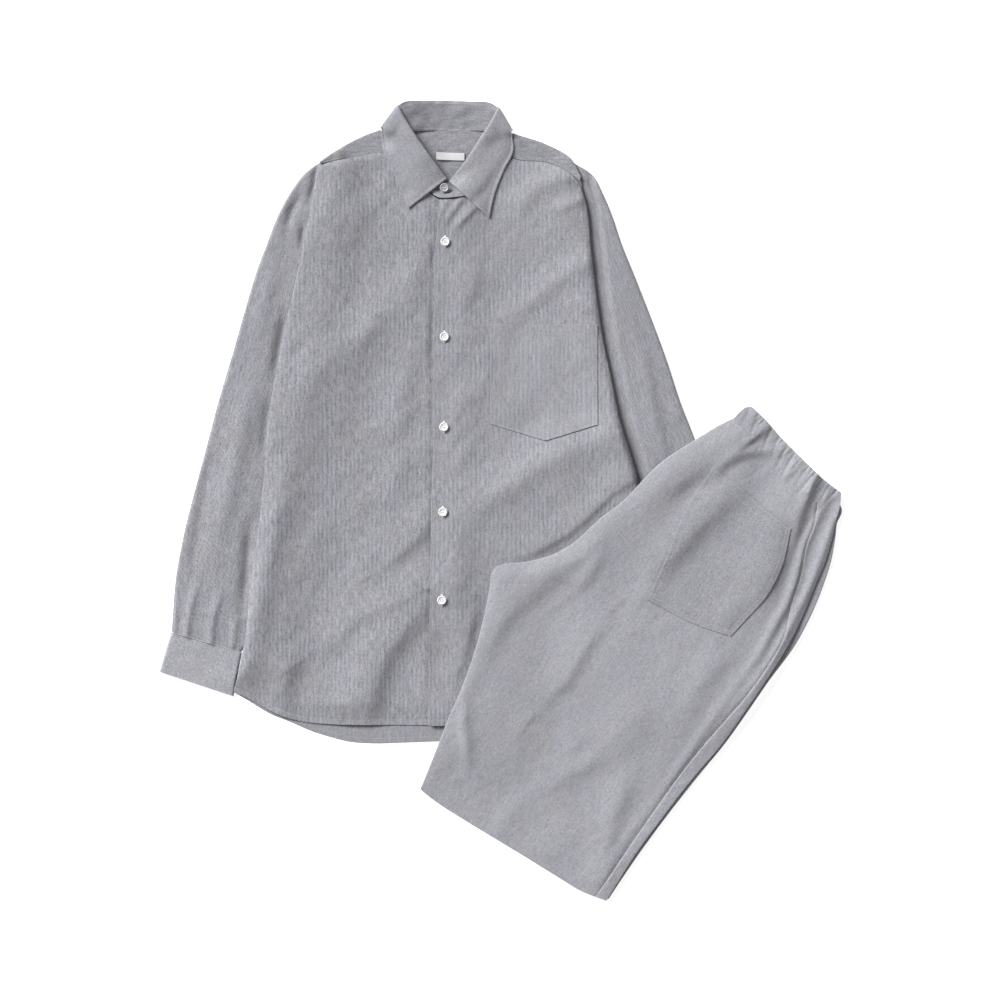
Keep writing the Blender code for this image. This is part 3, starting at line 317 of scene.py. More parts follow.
SLEEVE_FOLDS = (
    # path, left width, right width, rise, start, end
    (((-303, 162), (-316, 112), (-328, 62), (-339, 12), (-351, -38), (-359, -78)),
     14, 15, 4.0, 0.2, 0.3),
    (((-358, 75), (-369, 12), (-379, -50), (-388, -112)), 7, 7, -1.5, 0.2, 0.4),
    (((-269, 232), (-273, 206), (-277, 181), (-282, 150)), 7, 7.5, -5.0, 0.4, 0.3),
    (((-288, 125), (-293, 88), (-298, 48)), 5, 6, -2.6, 0.4, 0.3),
    (((-313, -30), (-314, -62), (-317, -100), (-322, -140)), 7.5, 8, -5.0, 0.3, 0.4),
    (((-229, 418), (-232, 394), (-239, 370)), 4.5, 5, -3.2, 0.9, 0.3),
    (((-252, 375), (-262, 358), (-267, 335)), 4.5, 5, -2.4, 0.5, 0.4),
    (((-246, 342), (-248, 318)), 4.5, 5, -3.4, 0.4, 0.4),
    (((-283, 298), (-297, 238), (-306, 194)), 12, 10, 2.2, 0.2, 0.2),
    (((-378, -98), (-388, -138), (-392, -170)), 5, 6, 2.2, 0.2, 1.0),
    (((-347, -110), (-358, -144), (-362, -178)), 5, 7, 2.6, 0.2, 1.0),
    (((-329, -140), (-334, -182)), 4, 5, 1.8, 0.2, 1.0),
    (((-404, -125), (-408, -165)), 4, 4, 1.0, 0.2, 1.0),
    (((-256, 398), (-268, 378), (-281, 348)), 9, 7, 1.8, 0.3, 0.3),
    (((174, 206), (183, 156), (188, 125), (196, 88), (206, 55)), 8, 12, 2.6, 0.2, 0.6),
    (((139, 344), (152, 298), (159, 250), (164, 206)), 12, 16, 1.4, 0.2, 0.3),
    (((106, 405), (119, 385)), 3.5, 4, -2.0, 0.4, 0.6),
    (((124, 375), (132, 348)), 4, 5, -1.4, 0.4, 0.4),
    (((214, 125), (224, 90)), 7, 7, 1.4, 0.3, 0.3),
)
SHORTS_FOLDS = (
    # path, left width, right width, rise, start, end
    (((327, 92), (301, 75), (277, 60), (257, 46), (237, 32), (214, 18), (187, 2)),
     12, 26, 4.0, 0.8, 0.2),
    (((344, 62), (314, 61), (297, 56), (281, 48), (268, 35), (253, 20)), 7.5, 8, 3.2, 0.6, 0.2),
    (((299, 22), (277, 5), (259, -12), (242, -30), (224, -50), (204, -72), (189, -94), (181, -115)),
     16, 24, 6.0, 0.3, 0.5),
    (((306, 15), (277, -12), (252, -50)), 40, 30, 2.4, 0.4, 0.2),
    (((384, 30), (373, 4), (362, -18), (348, -44), (341, -69), (329, -92), (312, -120), (297, -140)),
     20, 34, 7.0, 0.8, 0.2),
    (((392, 32), (382, 4), (373, -21), (366, -50), (358, -72)), 7, 9, 3.4, 0.8, 0.3),
    (((408, 2), (391, -31), (379, -56), (373, -78), (366, -106), (356, -131), (339, -162),
      (321, -195), (294, -230)),
     6, 6.5, 3.6, 0.6, 0.3),
    (((423, -10), (411, -40), (402, -64), (393, -90), (382, -116), (368, -144), (354, -171),
      (338, -200), (318, -230)),
     5.5, 6, 3.0, 0.6, 0.3),
    (((294, -230), (273, -260), (253, -290), (234, -318), (212, -350), (187, -382)),
     5, 6, 1.5, 0.4, 0.2),
    (((187, -382), (164, -412), (142, -446), (128, -475)), 5, 6, 1.0, 0.3, 0.6),
    (((306, -120), (284, -140), (269, -160)), 9, 10, 1.4, 0.3, 0.3),
    (((287, -188), (261, -214), (246, -238), (233, -261), (217, -285)), 15, 20, 3.0, 0.3, 0.3),
    (((132, -150), (114, -169), (102, -185), (92, -206), (78, -228), (62, -242), (48, -262)),
     10, 44, 3.6, 0.3, 0.3),
    (((123, -70), (111, -92), (92, -115)), 8, 16, 2.6, 0.5, 0.3),
    (((107, -62), (79, -79), (57, -95), (36, -115), (13, -135), (-4, -159), (-19, -188), (-36, -225)),
     13, 28, 3.4, 0.3, 0.4),
    (((-43, -240), (-46, -275), (-42, -306), (-41, -342)), 8, 8, 3.0, 0.4, 0.2),
    (((167, -335), (154, -362), (143, -390), (134, -422), (128, -458)), 12, 18, 3.2, 0.3, 0.4),
    (((139, -315), (106, -332), (74, -350), (49, -370)), 9, 10, 1.2, 0.2, 0.2),
    (((193, -250), (162, -294), (124, -328)), 18, 26, 1.6, 0.2, 0.2),
    (((49, -265), (24, -306), (-1, -362)), 20, 26, 1.4, 0.2, 0.2),
    (((19, -370), (7, -400), (-3, -420)), 12, 12, 1.2, 0.2, 0.8),
    (((338, 95), (318, 79), (294, 61)), 3.5, 6, 1.8, 0.9, 0.3),
    (((362, 68), (344, 50)), 4, 6, 1.2, 0.9, 0.1),
    (((374, 49), (363, 36), (353, 25)), 3.5, 6, 1.6, 0.8, 0.3),
    (((396, 32), (388, 18), (382, 0)), 3.5, 5, 2.0, 0.9, 0.4),
    (((412, 16), (399, 0), (386, -20)), 3, 5, 1.4, 0.8, 0.4),
)
# Where the yoke climbs to the roll of the collar, as one more fold
NECK_RISE = (((-128, 469), (-111, 450), (-91, 428), (-76, 405)), 13, 8, 5.0, 0.8, 0.5)
# Gathers of the waistband: place along its edge, width and depth, length and turn from the leg's line
GATHERS = (
    # place, width mm, depth mm, length mm, turn degrees
    (0.05, 3.0, 1.0, 34, 6),
    (0.13, 2.6, 1.3, 38, 12),
    (0.27, 2.6, 1.6, 40, 14),
    (0.36, 2.4, 1.2, 34, 12),
    (0.45, 2.6, 1.8, 42, 8),
    (0.53, 2.4, 1.5, 48, 6),
    (0.60, 2.2, 1.7, 36, -4),
    (0.67, 2.6, 1.4, 44, 4),
    (0.75, 2.4, 2.0, 48, -6),
    (0.83, 2.2, 1.6, 40, -8),
    (0.90, 2.4, 1.8, 46, 2),
    (0.96, 2.2, 1.3, 38, -6),
)
LEG_LINE = np.array((-0.583, -0.812))

# How a piece settles on what lies beneath, in millimetres: the reach over which it bridges, and how
# softly it follows
FRONT_SETTLE = (10, 12)
PANEL_SETTLE = (8, 5)
PATCH_SETTLE = (0.5, 1.3)
LABEL_SETTLE = (2, 2)
LEAST_LIFT = 0.25 * MM      # scale over which a lift is kept above nothing
HEM_INSET = 6               # stitching of the shirt's hems, in millimetres
LEG_HEM_INSET = 22

heights = np.zeros(MAP_SHAPE)


def travel(points):
    """Length travelled from the first point to each of them: the running sum of the steps."""
    steps = np.linalg.norm(np.diff(points, axis=0), axis=-1)
    return np.concatenate([np.zeros((1,) + steps.shape[1:]), np.cumsum(steps, axis=0)])


def unit(vectors, least=1e-9):
    """Vectors over their lengths, none of which counts as less than the least."""
    return vectors / np.maximum(np.linalg.norm(vectors, axis=-1, keepdims=True), least)


def cubic(rows, count_or_places):
    """Points read along a chain of cubics through rows, whose slopes follow their neighbours.

    A whole number gives that many places spaced evenly by length, and an array gives the places.
    """
    rows = np.asarray(rows, float)
    flat = rows.reshape(len(rows), -1)
    steps = np.linalg.norm(np.diff(flat, axis=0), axis=1)
    at = travel(flat)
    slopes = np.gradient(flat, at, axis=0)
    places = count_or_places
    if isinstance(places, int):
        places = np.linspace(0.0, 1.0, places)
    fine = np.linspace(0.0, at[-1], 900)
    span = np.clip(np.searchsorted(at, fine, side="right") - 1, 0, len(steps) - 1)
    width = steps[span][:, None]
    t = ((fine - at[span]) / steps[span])[:, None]
    path = ((2 * t**3 - 3 * t**2 + 1) * flat[span] + (t**3 - 2 * t**2 + t) * width * slopes[span]
            + (3 * t**2 - 2 * t**3) * flat[span + 1] + (t**3 - t**2) * width * slopes[span + 1])
    length = travel(path)
    wanted = np.asarray(places) * length[-1]
    read = np.stack([np.interp(wanted, length, column) for column in path.T], axis=1)
    return read.reshape((len(wanted),) + rows.shape[1:])


def curve(points, places):
    """Smooth curve through points in millimetres, read at fractions of its length, in metres."""
    return cubic(np.array(points, float) * MM, places)


def straight(points, places):
    """Curve made of straight runs, which keeps its corners sharp."""
    knots = np.array(points, float) * MM
    length = travel(knots)
    wanted = np.asarray(places) * length[-1]
    return np.stack([np.interp(wanted, length, knots[:, axis]) for axis in range(2)], axis=1)


def traced(points):
    """The smooth curve through points, as a fine path in millimetres."""
    return curve(points, 70) / MM


def spaced(length, step=STEP, first=True):
    """Fractions from 0 to 1 for a side of some length, closer together near its end, and near its
    start where that is wanted."""
    near = np.array((0.0, 0.5, 1.1, 1.9, 3.0, 4.4)) * MM
    start = near if first else np.array((0.0,))
    end = length - near[::-1]
    count = max(int(round((end[0] - start[-1]) / step)), 2)
    middle = np.linspace(start[-1], end[0], count + 1)[1:-1]
    return np.concatenate([start, middle, end]) / length


def framed(top, bottom, left, right, across, down, read=curve):
    """Grid inside four outlines in millimetres, read at fractions across and down: the blend of the
    top and the bottom plus that of the two sides, less the blend of the corners."""
    u = np.asarray(across)[None, :, None]
    v = np.asarray(down)[:, None, None]
    upper = read(top, across)[None]
    lower = read(bottom, across)[None]
    first = curve(left, down)[:, None]
    last = curve(right, down)[:, None]
    corners = ((1 - u) * (1 - v) * upper[:, :1] + u * (1 - v) * upper[:, -1:]
               + (1 - u) * v * lower[:, :1] + u * v * lower[:, -1:])
    return (1 - v) * upper + v * lower + (1 - u) * first + u * last - corners


def ease_in(t):
    """Smooth step from 0 to 1: three times the square less twice the cube."""
    t = np.clip(t, 0.0, 1.0)
    return t * t * (3 - 2 * t)


def rolled(gap, turn):
    """Quarter round from 0 at an edge to 1 where the turn is over: the root of one less the square
    of what is left of the turn."""
    return np.sqrt(1 - (1 - np.clip(gap / turn, 0.0, 1.0))**2)


def nearest(xy, path):
    """Distance to a path in millimetres, the length travelled to the nearest place, the path's
    whole length, and the side: 1 on the left of its travel and -1 on its right."""
    knots = np.array(path, float) * MM
    steps = np.maximum(np.linalg.norm(np.diff(knots, axis=0), axis=1), 1e-9)
    before = np.concatenate([[0.0], np.cumsum(steps)])
    best = np.full(xy.shape[:-1], np.inf)
    along = np.zeros(xy.shape[:-1])
    side = np.ones(xy.shape[:-1])
    for index, step in enumerate(steps):
        direction = (knots[index + 1] - knots[index]) / step
        away = xy - knots[index]
        travel = np.clip(away @ direction, 0.0, step)
        gap = np.linalg.norm(away - travel[..., None] * direction, axis=-1)
        turned = direction[0] * away[..., 1] - direction[1] * away[..., 0]
        nearer = gap < best
        best = np.where(nearer, gap, best)
        along = np.where(nearer, before[index] + travel, along)
        side = np.where(nearer, np.sign(turned), side)
    return best, along, before[-1], side


def fold_relief(xy, folds):
    """Sum of folds. Each is its rise times a bell of the distance to its path over the width on that
    side, and eases to its ends' shares over the first and the last third of its length."""
    relief = np.zeros(xy.shape[:-1])
    for path, left, right, rise, start, end in folds:
        gap, along, length, side = nearest(xy, path)
        width = np.where(side > 0, left, right) * MM
        t = along / length
        fade = (start + (1 - start) * ease_in(t / 0.3)) * (end + (1 - end) * ease_in((1 - t) / 0.35))
        relief += rise * MM * fade * np.exp(-(gap / width)**2)
    return relief


def waves(xy, length, angle, spread, seed):
    """Sum of straight waves with lengths about the given one and crests about the given angle,
    with a root mean square of one."""
    chance = np.random.default_rng(seed)
    total = np.zeros(xy.shape[:-1])
    for _ in range(WAVE_COUNT):
        wavelength = length * MM * 2**chance.uniform(-0.9, 0.9)
        turn = np.radians(angle + 90 + spread * chance.normal())
        phase = chance.uniform(0, 2 * np.pi)
        travel = xy[..., 0] * np.cos(turn) + xy[..., 1] * np.sin(turn)
        total += np.cos(2 * np.pi * travel / wavelength + phase)
    return total * np.sqrt(2 / WAVE_COUNT)


def handling(xy, angle, seed, amount=1.0):
    """Slight unevenness of laid cloth: long waves about one angle, shorter ones in patches, and
    small crumples."""
    long = 0.42 * waves(xy, 95, angle, 22, seed)
    patches = 0.5 + 0.5 * np.tanh(waves(xy, 130, angle + 60, 60, seed + 1))
    short = 0.22 * waves(xy, 34, angle, 26, seed + 2) * patches
    small = 0.06 * waves(xy, 13, angle, 70, seed + 3)
    return amount * MM * (long + short + small)


def seam_relief(xy, path, inset, depth, pucker, pitch, seed):
    """A stitched line at an inset from a path: a groove, which is a bell of the distance to the line,
    and small puckers, a sine along it whose phase sways and whose strength comes and goes."""
    gap, along, _, _ = nearest(xy, path)
    away = gap - inset * MM
    groove = -depth * MM * np.exp(-(away / (1.5 * MM))**2)
    phase = 2 * np.pi * along / (pitch * MM)
    sway = 1.9 * np.sin(0.23 * phase + seed) + 1.1 * np.sin(0.61 * phase + 2 * seed)
    strength = 0.55 + 0.45 * np.sin(0.17 * phase + 3 * seed)
    return groove + pucker * MM * strength * np.sin(phase + sway) * np.exp(-(away / (6.5 * MM))**2)


def read_map(field, xy):
    """Heights of a map at points, between its cells."""
    place = (xy - MAP_START) / CELL
    column = np.clip(place[..., 0].astype(int), 0, MAP_SHAPE[1] - 2)
    row = np.clip(place[..., 1].astype(int), 0, MAP_SHAPE[0] - 2)
    s = place[..., 0] - column
    t = place[..., 1] - row
    return ((1 - s) * (1 - t) * field[row, column] + s * (1 - t) * field[row, column + 1]
            + (1 - s) * t * field[row + 1, column] + s * t * field[row + 1, column + 1])


def widened(field, reach):
    """Every height spread over a reach: each turn takes the highest of a cell and its neighbours, in a
    square and in a cross by turns."""
    for turn in range(int(round(reach / CELL))):
        upright = np.maximum(field, np.maximum(np.roll(field, 1, 0), np.roll(field, -1, 0)))
        other = upright if turn % 2 else field
        field = np.maximum(upright, np.maximum(np.roll(other, 1, 1), np.roll(other, -1, 1)))
    return field


def blurred(field, radius):
    """Gaussian blur: the Fourier transform times the bell of the radius, turned back."""
    down = np.fft.fftfreq(MAP_SHAPE[0])[:, None]
    across = np.fft.rfftfreq(MAP_SHAPE[1])[None]
    keep = np.exp(-2 * (np.pi * radius / CELL)**2 * (down**2 + across**2))
    return np.fft.irfft2(np.fft.rfft2(field) * keep, s=MAP_SHAPE)


def resting(xy, reach, soften, ground=None):
    """Height at which cloth comes to rest: the highest thing within reach, then smoothed."""
    field = heights if ground is None else ground
    return read_map(blurred(widened(field, (reach + 1.5 * soften) * MM), soften * MM), xy)


def map_of(grid):
    """Map of one laid surface, with the gap that the next piece keeps above it. Each of its faces is
    filled with points closer than the map's cells, and a cell keeps its highest."""
    cell = np.linalg.norm(np.diff(grid[:, :, :2], axis=0), axis=-1).max()
    cell = max(cell, np.linalg.norm(np.diff(grid[:, :, :2], axis=1), axis=-1).max())
    steps = np.linspace(0.0, 1.0, int(np.ceil(cell / (0.8 * CELL))) + 1)
    s, t = (values[..., None] for values in np.meshgrid(steps, steps))
    field = np.zeros(MAP_SHAPE)
    for part in np.array_split(np.arange(len(grid) - 1), max(1, len(grid) // 40)):
        a, b = grid[part, :-1, None, None], grid[part, 1:, None, None]
        d, c = grid[part + 1, :-1, None, None], grid[part + 1, 1:, None, None]
        points = (1 - s) * (1 - t) * a + s * (1 - t) * b + (1 - s) * t * d + s * t * c
        points = points.reshape(-1, 3)
        cells = np.rint((points[:, :2] - MAP_START) / CELL).astype(int)
        np.maximum.at(field, (cells[:, 1], cells[:, 0]), points[:, 2] + GAP)
    return field


def press(grid):
    """Record a laid surface in the running map."""
    np.maximum(heights, map_of(grid), out=heights)


def with_height(xy, height):
    """Grid of points from places and heights."""
    return np.concatenate([xy, np.broadcast_to(height, xy.shape[:-1])[..., None]], axis=-1)


def normals(grid):
    """Unit normals of a grid, from the slopes of its rows and columns."""
    normal = np.cross(np.gradient(grid, axis=1), np.gradient(grid, axis=0))
    return unit(normal, 1e-12)


def grain(xy, angle=0.0, shift=0.0):
    """Pattern coordinates in metres: across the stripes and along them, turned by an angle."""
    turn = np.radians(angle)
    across = xy[..., 0] * np.cos(turn) + xy[..., 1] * np.sin(turn)
    along = -xy[..., 0] * np.sin(turn) + xy[..., 1] * np.cos(turn)
    return np.stack([across + shift, along + shift], axis=-1)


def linked(name, data):
    """Object of a mesh, a lamp or a camera, put in the scene."""
    thing = bpy.data.objects.new(name, data)
    bpy.context.scene.collection.objects.link(thing)
    return thing


def finished(name, mesh, material, sharp=None):
    """Object of a mesh, shaded smooth but where its faces meet at a sharp angle in degrees, and fixed
    to the one body."""
    mesh.validate()
    mesh.shade_smooth()
    if sharp:
        mesh.set_sharp_from_angle(angle=np.radians(sharp))
    mesh.materials.append(material)
    thing = linked(name, mesh)
    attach(thing, "root")
    return thing


def build(name, points, faces, pattern, material):
    """Mesh object from points and four-cornered faces, turned outwards, with its pattern as UVs. It
    is inside out where the volume under its faces, each taken as two triangles, is below nothing."""
    a, b, c, d = (points[faces[:, corner]] for corner in range(4))
    if np.einsum("ij,ij->i", a, np.cross(b, c) + np.cross(c, d)).sum() < 0:
        faces = faces[:, ::-1]
    mesh = bpy.data.meshes.new(name)
    mesh.vertices.add(len(points))
    mesh.vertices.foreach_set("co", points.astype(np.float32).ravel())
    mesh.loops.add(faces.size)
    mesh.loops.foreach_set("vertex_index", faces.astype(np.int32).ravel())
    mesh.polygons.add(len(faces))
    mesh.polygons.foreach_set("loop_start", np.arange(0, faces.size, 4, dtype=np.int32))
    if pattern is not None:
        layer = mesh.uv_layers.new(name="Cloth")
        layer.uv.foreach_set("vector", pattern[faces].astype(np.float32).ravel())
    mesh.update(calc_edges=True)
    return finished(name, mesh, material, SHARP_CLOTH)


def grid_faces(rows, columns, keep=None):
    """Four-cornered faces of a grid of points."""
    index = np.arange(rows * columns).reshape(rows, columns)
    faces = np.stack([index[:-1, :-1], index[:-1, 1:], index[1:, 1:], index[1:, :-1]], axis=-1)
    return faces[keep] if keep is not None else faces.reshape(-1, 4)


def ring_faces(index):
    """Four-cornered faces between rings of point numbers, each ring closed on itself."""
    beside = np.roll(index, -1, axis=1)
    return np.stack([index[:-1], beside[:-1], beside[1:], index[1:]], axis=-1).reshape(-1, 4)


def open_edges(faces):
    """Directed edges that only one face has."""
    edges = np.concatenate([faces[:, [0, 1]], faces[:, [1, 2]], faces[:, [2, 3]], faces[:, [3, 0]]])
    low, high = edges.min(axis=1), edges.max(axis=1)
    _, first, uses = np.unique(low * (edges.max() + 1) + high, return_index=True, return_counts=True)
    return edges[first[uses == 1]]


def wall(name, lower, upper, pattern, material, keep=None):
    """Closed thin shell between two grids. Its rim is a half round that stands out by a share of
    the wall."""
    rows, columns = upper.shape[:2]
    top = grid_faces(rows, columns, keep)
    shift = rows * columns
    rim = open_edges(top)
    p, q = rim[:, 0], rim[:, 1]
    high, low = upper.reshape(-1, 3), lower.reshape(-1, 3)
    run = high[q, :2] - high[p, :2]
    out = np.zeros((shift, 2))
    normal = np.stack([run[:, 1], -run[:, 0]], axis=1)
    a, b, c, d = (high[top[:, corner], :2] for corner in range(4))
    turning = np.sum((c - a)[:, 0] * (d - b)[:, 1] - (c - a)[:, 1] * (d - b)[:, 0])
    normal *= np.sign(turning)
    np.add.at(out, p, normal)
    np.add.at(out, q, normal)
    edge = np.unique(p)
    number = np.zeros(shift, int)
    number[edge] = np.arange(len(edge))
    out = unit(out[edge])
    middle = (high[edge] + low[edge]) / 2
    middle[:, :2] += out * RIM_BULGE * np.linalg.norm(high[edge] - low[edge], axis=1, keepdims=True)
    here, there = 2 * shift + number[p], 2 * shift + number[q]
    sides = np.concatenate([np.stack([q, p, here, there], 1),
                            np.stack([there, here, p + shift, q + shift], 1)])
    faces = np.concatenate([top, top[:, ::-1] + shift, sides])
    points = np.concatenate([high, low, middle])
    spread = pattern.reshape(-1, 2)
    used, faces = np.unique(faces, return_inverse=True)
    spread = np.concatenate([spread, spread, spread[edge]])[used]
    return build(name, points[used], faces.reshape(-1, 4), spread, material)


def dress(thing, node):
    """Let a piece stand for its solid, which is hidden."""
    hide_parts(node)


def sew(name, node, material, xy, lift, settle, pattern, ground=None, thick=CLOTH):
    """Lay a panel over the map, or over an earlier state of it where it is sewn on beside its
    neighbour: the resting height plus its lift, which is softly kept from falling below nothing.
    Gives its upper surface."""
    reach, soften = settle
    lift = LEAST_LIFT * np.logaddexp(0.0, lift / LEAST_LIFT)
    lower = with_height(xy, resting(xy, reach, soften, ground) + lift)
    upper = lower + (0, 0, thick)
    press(upper)
    dress(wall(name, lower, upper, pattern, material), node)
    return upper


def inset_line(grid, side, inset, trim=0.0):
    """Line on a grid's surface that runs at an inset from one of its sides."""
    turned = {"top": grid, "bottom": grid[::-1], "left": grid.swapaxes(0, 1),
              "right": grid[:, ::-1].swapaxes(0, 1)}[side]
    depth = travel(turned)
    row = np.clip((depth < inset).sum(axis=0), 1, len(turned) - 1)
    column = np.arange(turned.shape[1])
    start, end = depth[row - 1, column], depth[row, column]
    t = ((inset - start) / np.maximum(end - start, 1e-9))[:, None]
    line = turned[row - 1, column] * (1 - t) + turned[row, column] * t
    length = travel(line)
    keep = (length >= trim) & (length <= length[-1] - trim)
    return line[keep]


def stitching(name, lines, material, pitch=STITCH_PITCH, radius=0.27 * MM):
    """Rows of stitches along lines: each a short spindle of thread with four sides, which stands a
    little out of the cloth."""
    length = 0.78 * pitch
    spindle = np.array(
        [(-length / 2, 0, -0.5 * radius)]
        + [(-0.28 * length, radius * np.cos(a), 0.3 * radius + radius * np.sin(a))
           for a in np.radians((0, 90, 180, 270))]
        + [(0.28 * length, radius * np.cos(a), 0.3 * radius + radius * np.sin(a))
           for a in np.radians((0, 90, 180, 270))]
        + [(length / 2, 0, -0.5 * radius)])
    quads = [(0, 1 + k, 1 + (k + 1) % 4, 0) for k in range(4)]
    body = [(1 + k, 5 + k, 5 + (k + 1) % 4, 1 + (k + 1) % 4) for k in range(4)]
    tips = [(9, 5 + (k + 1) % 4, 5 + k, 9) for k in range(4)]
    places, runs = [], []
    for line in lines:
        travelled = travel(line)
        at = np.arange(pitch / 2, travelled[-1], pitch)
        ends = [np.stack([np.interp(at + shift, travelled, line[:, axis]) for axis in range(3)], 1)
                for shift in (-length / 2, length / 2)]
        places.append((ends[0] + ends[1]) / 2)
        runs.append(ends[1] - ends[0])
    centre, run = np.concatenate(places), unit(np.concatenate(runs))
    across = unit(np.cross((0.0, 0.0, 1.0), run))
    up = np.cross(run, across)
    points = (centre[:, None] + spindle[None, :, :1] * run[:, None]
              + spindle[None, :, 1:2] * across[:, None] + spindle[None, :, 2:] * up[:, None])
    first = 10 * np.arange(len(centre))[:, None, None]
    mesh = bpy.data.meshes.new(name)
    threes = (first + np.array([f[:3] for f in quads + tips])).reshape(-1, 3)
    fours = (first + np.array(body)).reshape(-1, 4)
    mesh.from_pydata(points.reshape(-1, 3).tolist(), [], threes.tolist() + fours.tolist())
    finished(name, mesh, material)


class Nodes:
    """One material, with helpers that add shader nodes to it and join them."""

    def __init__(self, name):
        self.material = bpy.data.materials.new(name)
        self.material.use_nodes = True
        self.tree = self.material.node_tree
        self.shader = self.tree.nodes["Principled BSDF"]

    def set_input(self, socket, value):
        """Give a socket a number, a colour or another node's output."""
        if isinstance(value, bpy.types.NodeSocket):
            self.tree.links.new(value, socket)
        else:
            socket.default_value = value

    def place(self, kind):
        """Where the pattern is read: the cloth's own UVs, or the object's place."""
        if kind == "cloth":
            node = self.tree.nodes.new("ShaderNodeUVMap")
            node.uv_map = "Cloth"
            return node.outputs["UV"]
        return self.tree.nodes.new("ShaderNodeTexCoord").outputs["Object"]

    def math(self, operation, *values):
        """Arithmetic on numbers and outputs."""
        node = self.tree.nodes.new("ShaderNodeMath")
        node.operation = operation
        for socket, value in zip(node.inputs, values):
            self.set_input(socket, value)
        return node.outputs[0]

    def total(self, *terms):
        """Sum of outputs, each with its weight, about their middle of one half."""
        result = 0.5
        for output, weight in terms:
            centred = self.math("SUBTRACT", output, 0.5)
            result = self.math("MULTIPLY_ADD", centred, weight, result)
        return result

    def noise(self, place, scale, detail, warp=0.0, roughness=0.55):
        """Noise read at a place."""
        node = self.tree.nodes.new("ShaderNodeTexNoise")
        names = ("Scale", "Detail", "Roughness", "Distortion", "Vector")
        for name, value in zip(names, (scale, detail, roughness, warp, place)):
            self.set_input(node.inputs[name], value)
        return node.outputs["Fac"]

    def vector(self, *values):
        """Place made of separate numbers."""
        node = self.tree.nodes.new("ShaderNodeCombineXYZ")
        for socket, value in zip(node.inputs, values):
            self.set_input(socket, value)
        return node.outputs[0]

    def mixed(self, factor, first, second, blend="MIX"):
        """Colour between two colours."""
        node = self.tree.nodes.new("ShaderNodeMix")
        node.data_type = "RGBA"
        node.blend_type = blend
        for index, value in ((0, factor), (6, first), (7, second)):
            self.set_input(node.inputs[index], value)
        return node.outputs[2]

    def surface(self, colour, roughness, height, depth, sheen=0.0, coat=0.0):
        """Fill in the shader: colour, roughness, a bump of a depth in metres, sheen and coat."""
        bump = self.tree.nodes.new("ShaderNodeBump")
        for name, value in (("Strength", 1.0), ("Distance", depth), ("Height", height)):
            self.set_input(bump.inputs[name], value)
        looks = {"Normal": bump.outputs[0], "Base Color": colour, "Roughness": roughness,
                 "Specular IOR Level": 0.25, "Sheen Weight": sheen, "Coat Weight": coat}
        for name, value in looks.items():
            self.set_input(self.shader.inputs[name], value)
        return self.material


def cotton(name, tone, streak, speckle, stripe, seed, hatch):
    """Yarn-dyed cotton: narrow pale and dark stripes along the grain that break and wander, yarns
    that thicken and thin in streaks, a speckle from the weft, and a cast that drifts between grey
    and blue."""
    n = Nodes(name)
    parts = n.tree.nodes.new("ShaderNodeSeparateXYZ")
    n.set_input(parts.inputs[0], n.place("cloth"))
    across, along = parts.outputs["X"], parts.outputs["Y"]

    def stretched(per_across, per_along, layer):
        return n.vector(n.math("MULTIPLY", across, per_across),
                        n.math("MULTIPLY", along, per_along), seed + layer)

    yarn = n.noise(stretched(420.0, 90.0, 0.0), 1.0, 2.0, 0.5)
    broad = n.noise(stretched(120.0, 34.0, 30.0), 1.0, 1.0)
    fleck = n.noise(stretched(560.0, 500.0, 60.0), 1.0, 2.0, 1.2, 0.7)
    cloud = n.noise(stretched(26.0, 20.0, 90.0), 1.0, 3.0)
    phase = n.math("MULTIPLY", across, 2 * np.pi / STRIPE_PITCH)
    wandering = n.math("MULTIPLY_ADD", broad, 4.5, phase)
    wave = n.math("MULTIPLY_ADD", n.math("SINE", wandering), 0.5, 0.5)
    faint = n.math("MULTIPLY", n.math("SUBTRACT", cloud, 0.32), 3.0 * stripe)
    hairline = n.math("SINE", n.math("MULTIPLY", across, 2 * np.pi / HAIRLINE_PITCH))
    share = n.total((yarn, 0.85 * streak), (broad, 0.16 * streak), (fleck, speckle), (cloud, 0.05))
    share = n.math("MULTIPLY_ADD", n.math("SUBTRACT", wave, 0.5), faint, share)
    share = n.math("MULTIPLY_ADD", hairline, 0.05, share)
    if hatch:
        slant = n.math("MULTIPLY_ADD", across, 685.0, n.math("MULTIPLY", along, -1252.0))
        rows = n.math("SINE", n.math("MULTIPLY_ADD", broad, 8.0, slant))
        share = n.math("MULTIPLY_ADD", rows, hatch, share)
    dark, pale = (tuple(value * part for value, part in zip(tone, yarn_share)) + (1.0,)
                  for yarn_share in (DARK_YARN, PALE_YARN))
    colour = n.mixed(share, dark, pale)
    drift = n.math("MULTIPLY_ADD", n.math("SUBTRACT", cloud, 0.5), 2.2, 0.5)
    cast = n.mixed(drift, GREY_CAST, BLUE_CAST)
    colour = n.mixed(1.0, colour, cast, "MULTIPLY")
    rough = n.math("MULTIPLY_ADD", fleck, 0.16, 0.76)
    return n.surface(colour, rough, share, 0.00012, sheen=0.1)


def plain(name, colour, roughness, grains, amount, sheen=0.0, coat=0.0):
    """Even finish with a slight grain."""
    n = Nodes(name)
    grain_noise = n.noise(n.place("object"), grains, 2.0)
    low = tuple(value * (1 - amount) for value in colour) + (1.0,)
    high = tuple(min(value * (1 + amount), 1.0) for value in colour) + (1.0,)
    rough = n.math("MULTIPLY_ADD", grain_noise, 0.1, roughness - 0.05)
    return n.surface(n.mixed(grain_noise, low, high), rough, grain_noise, 0.00002, sheen, coat)


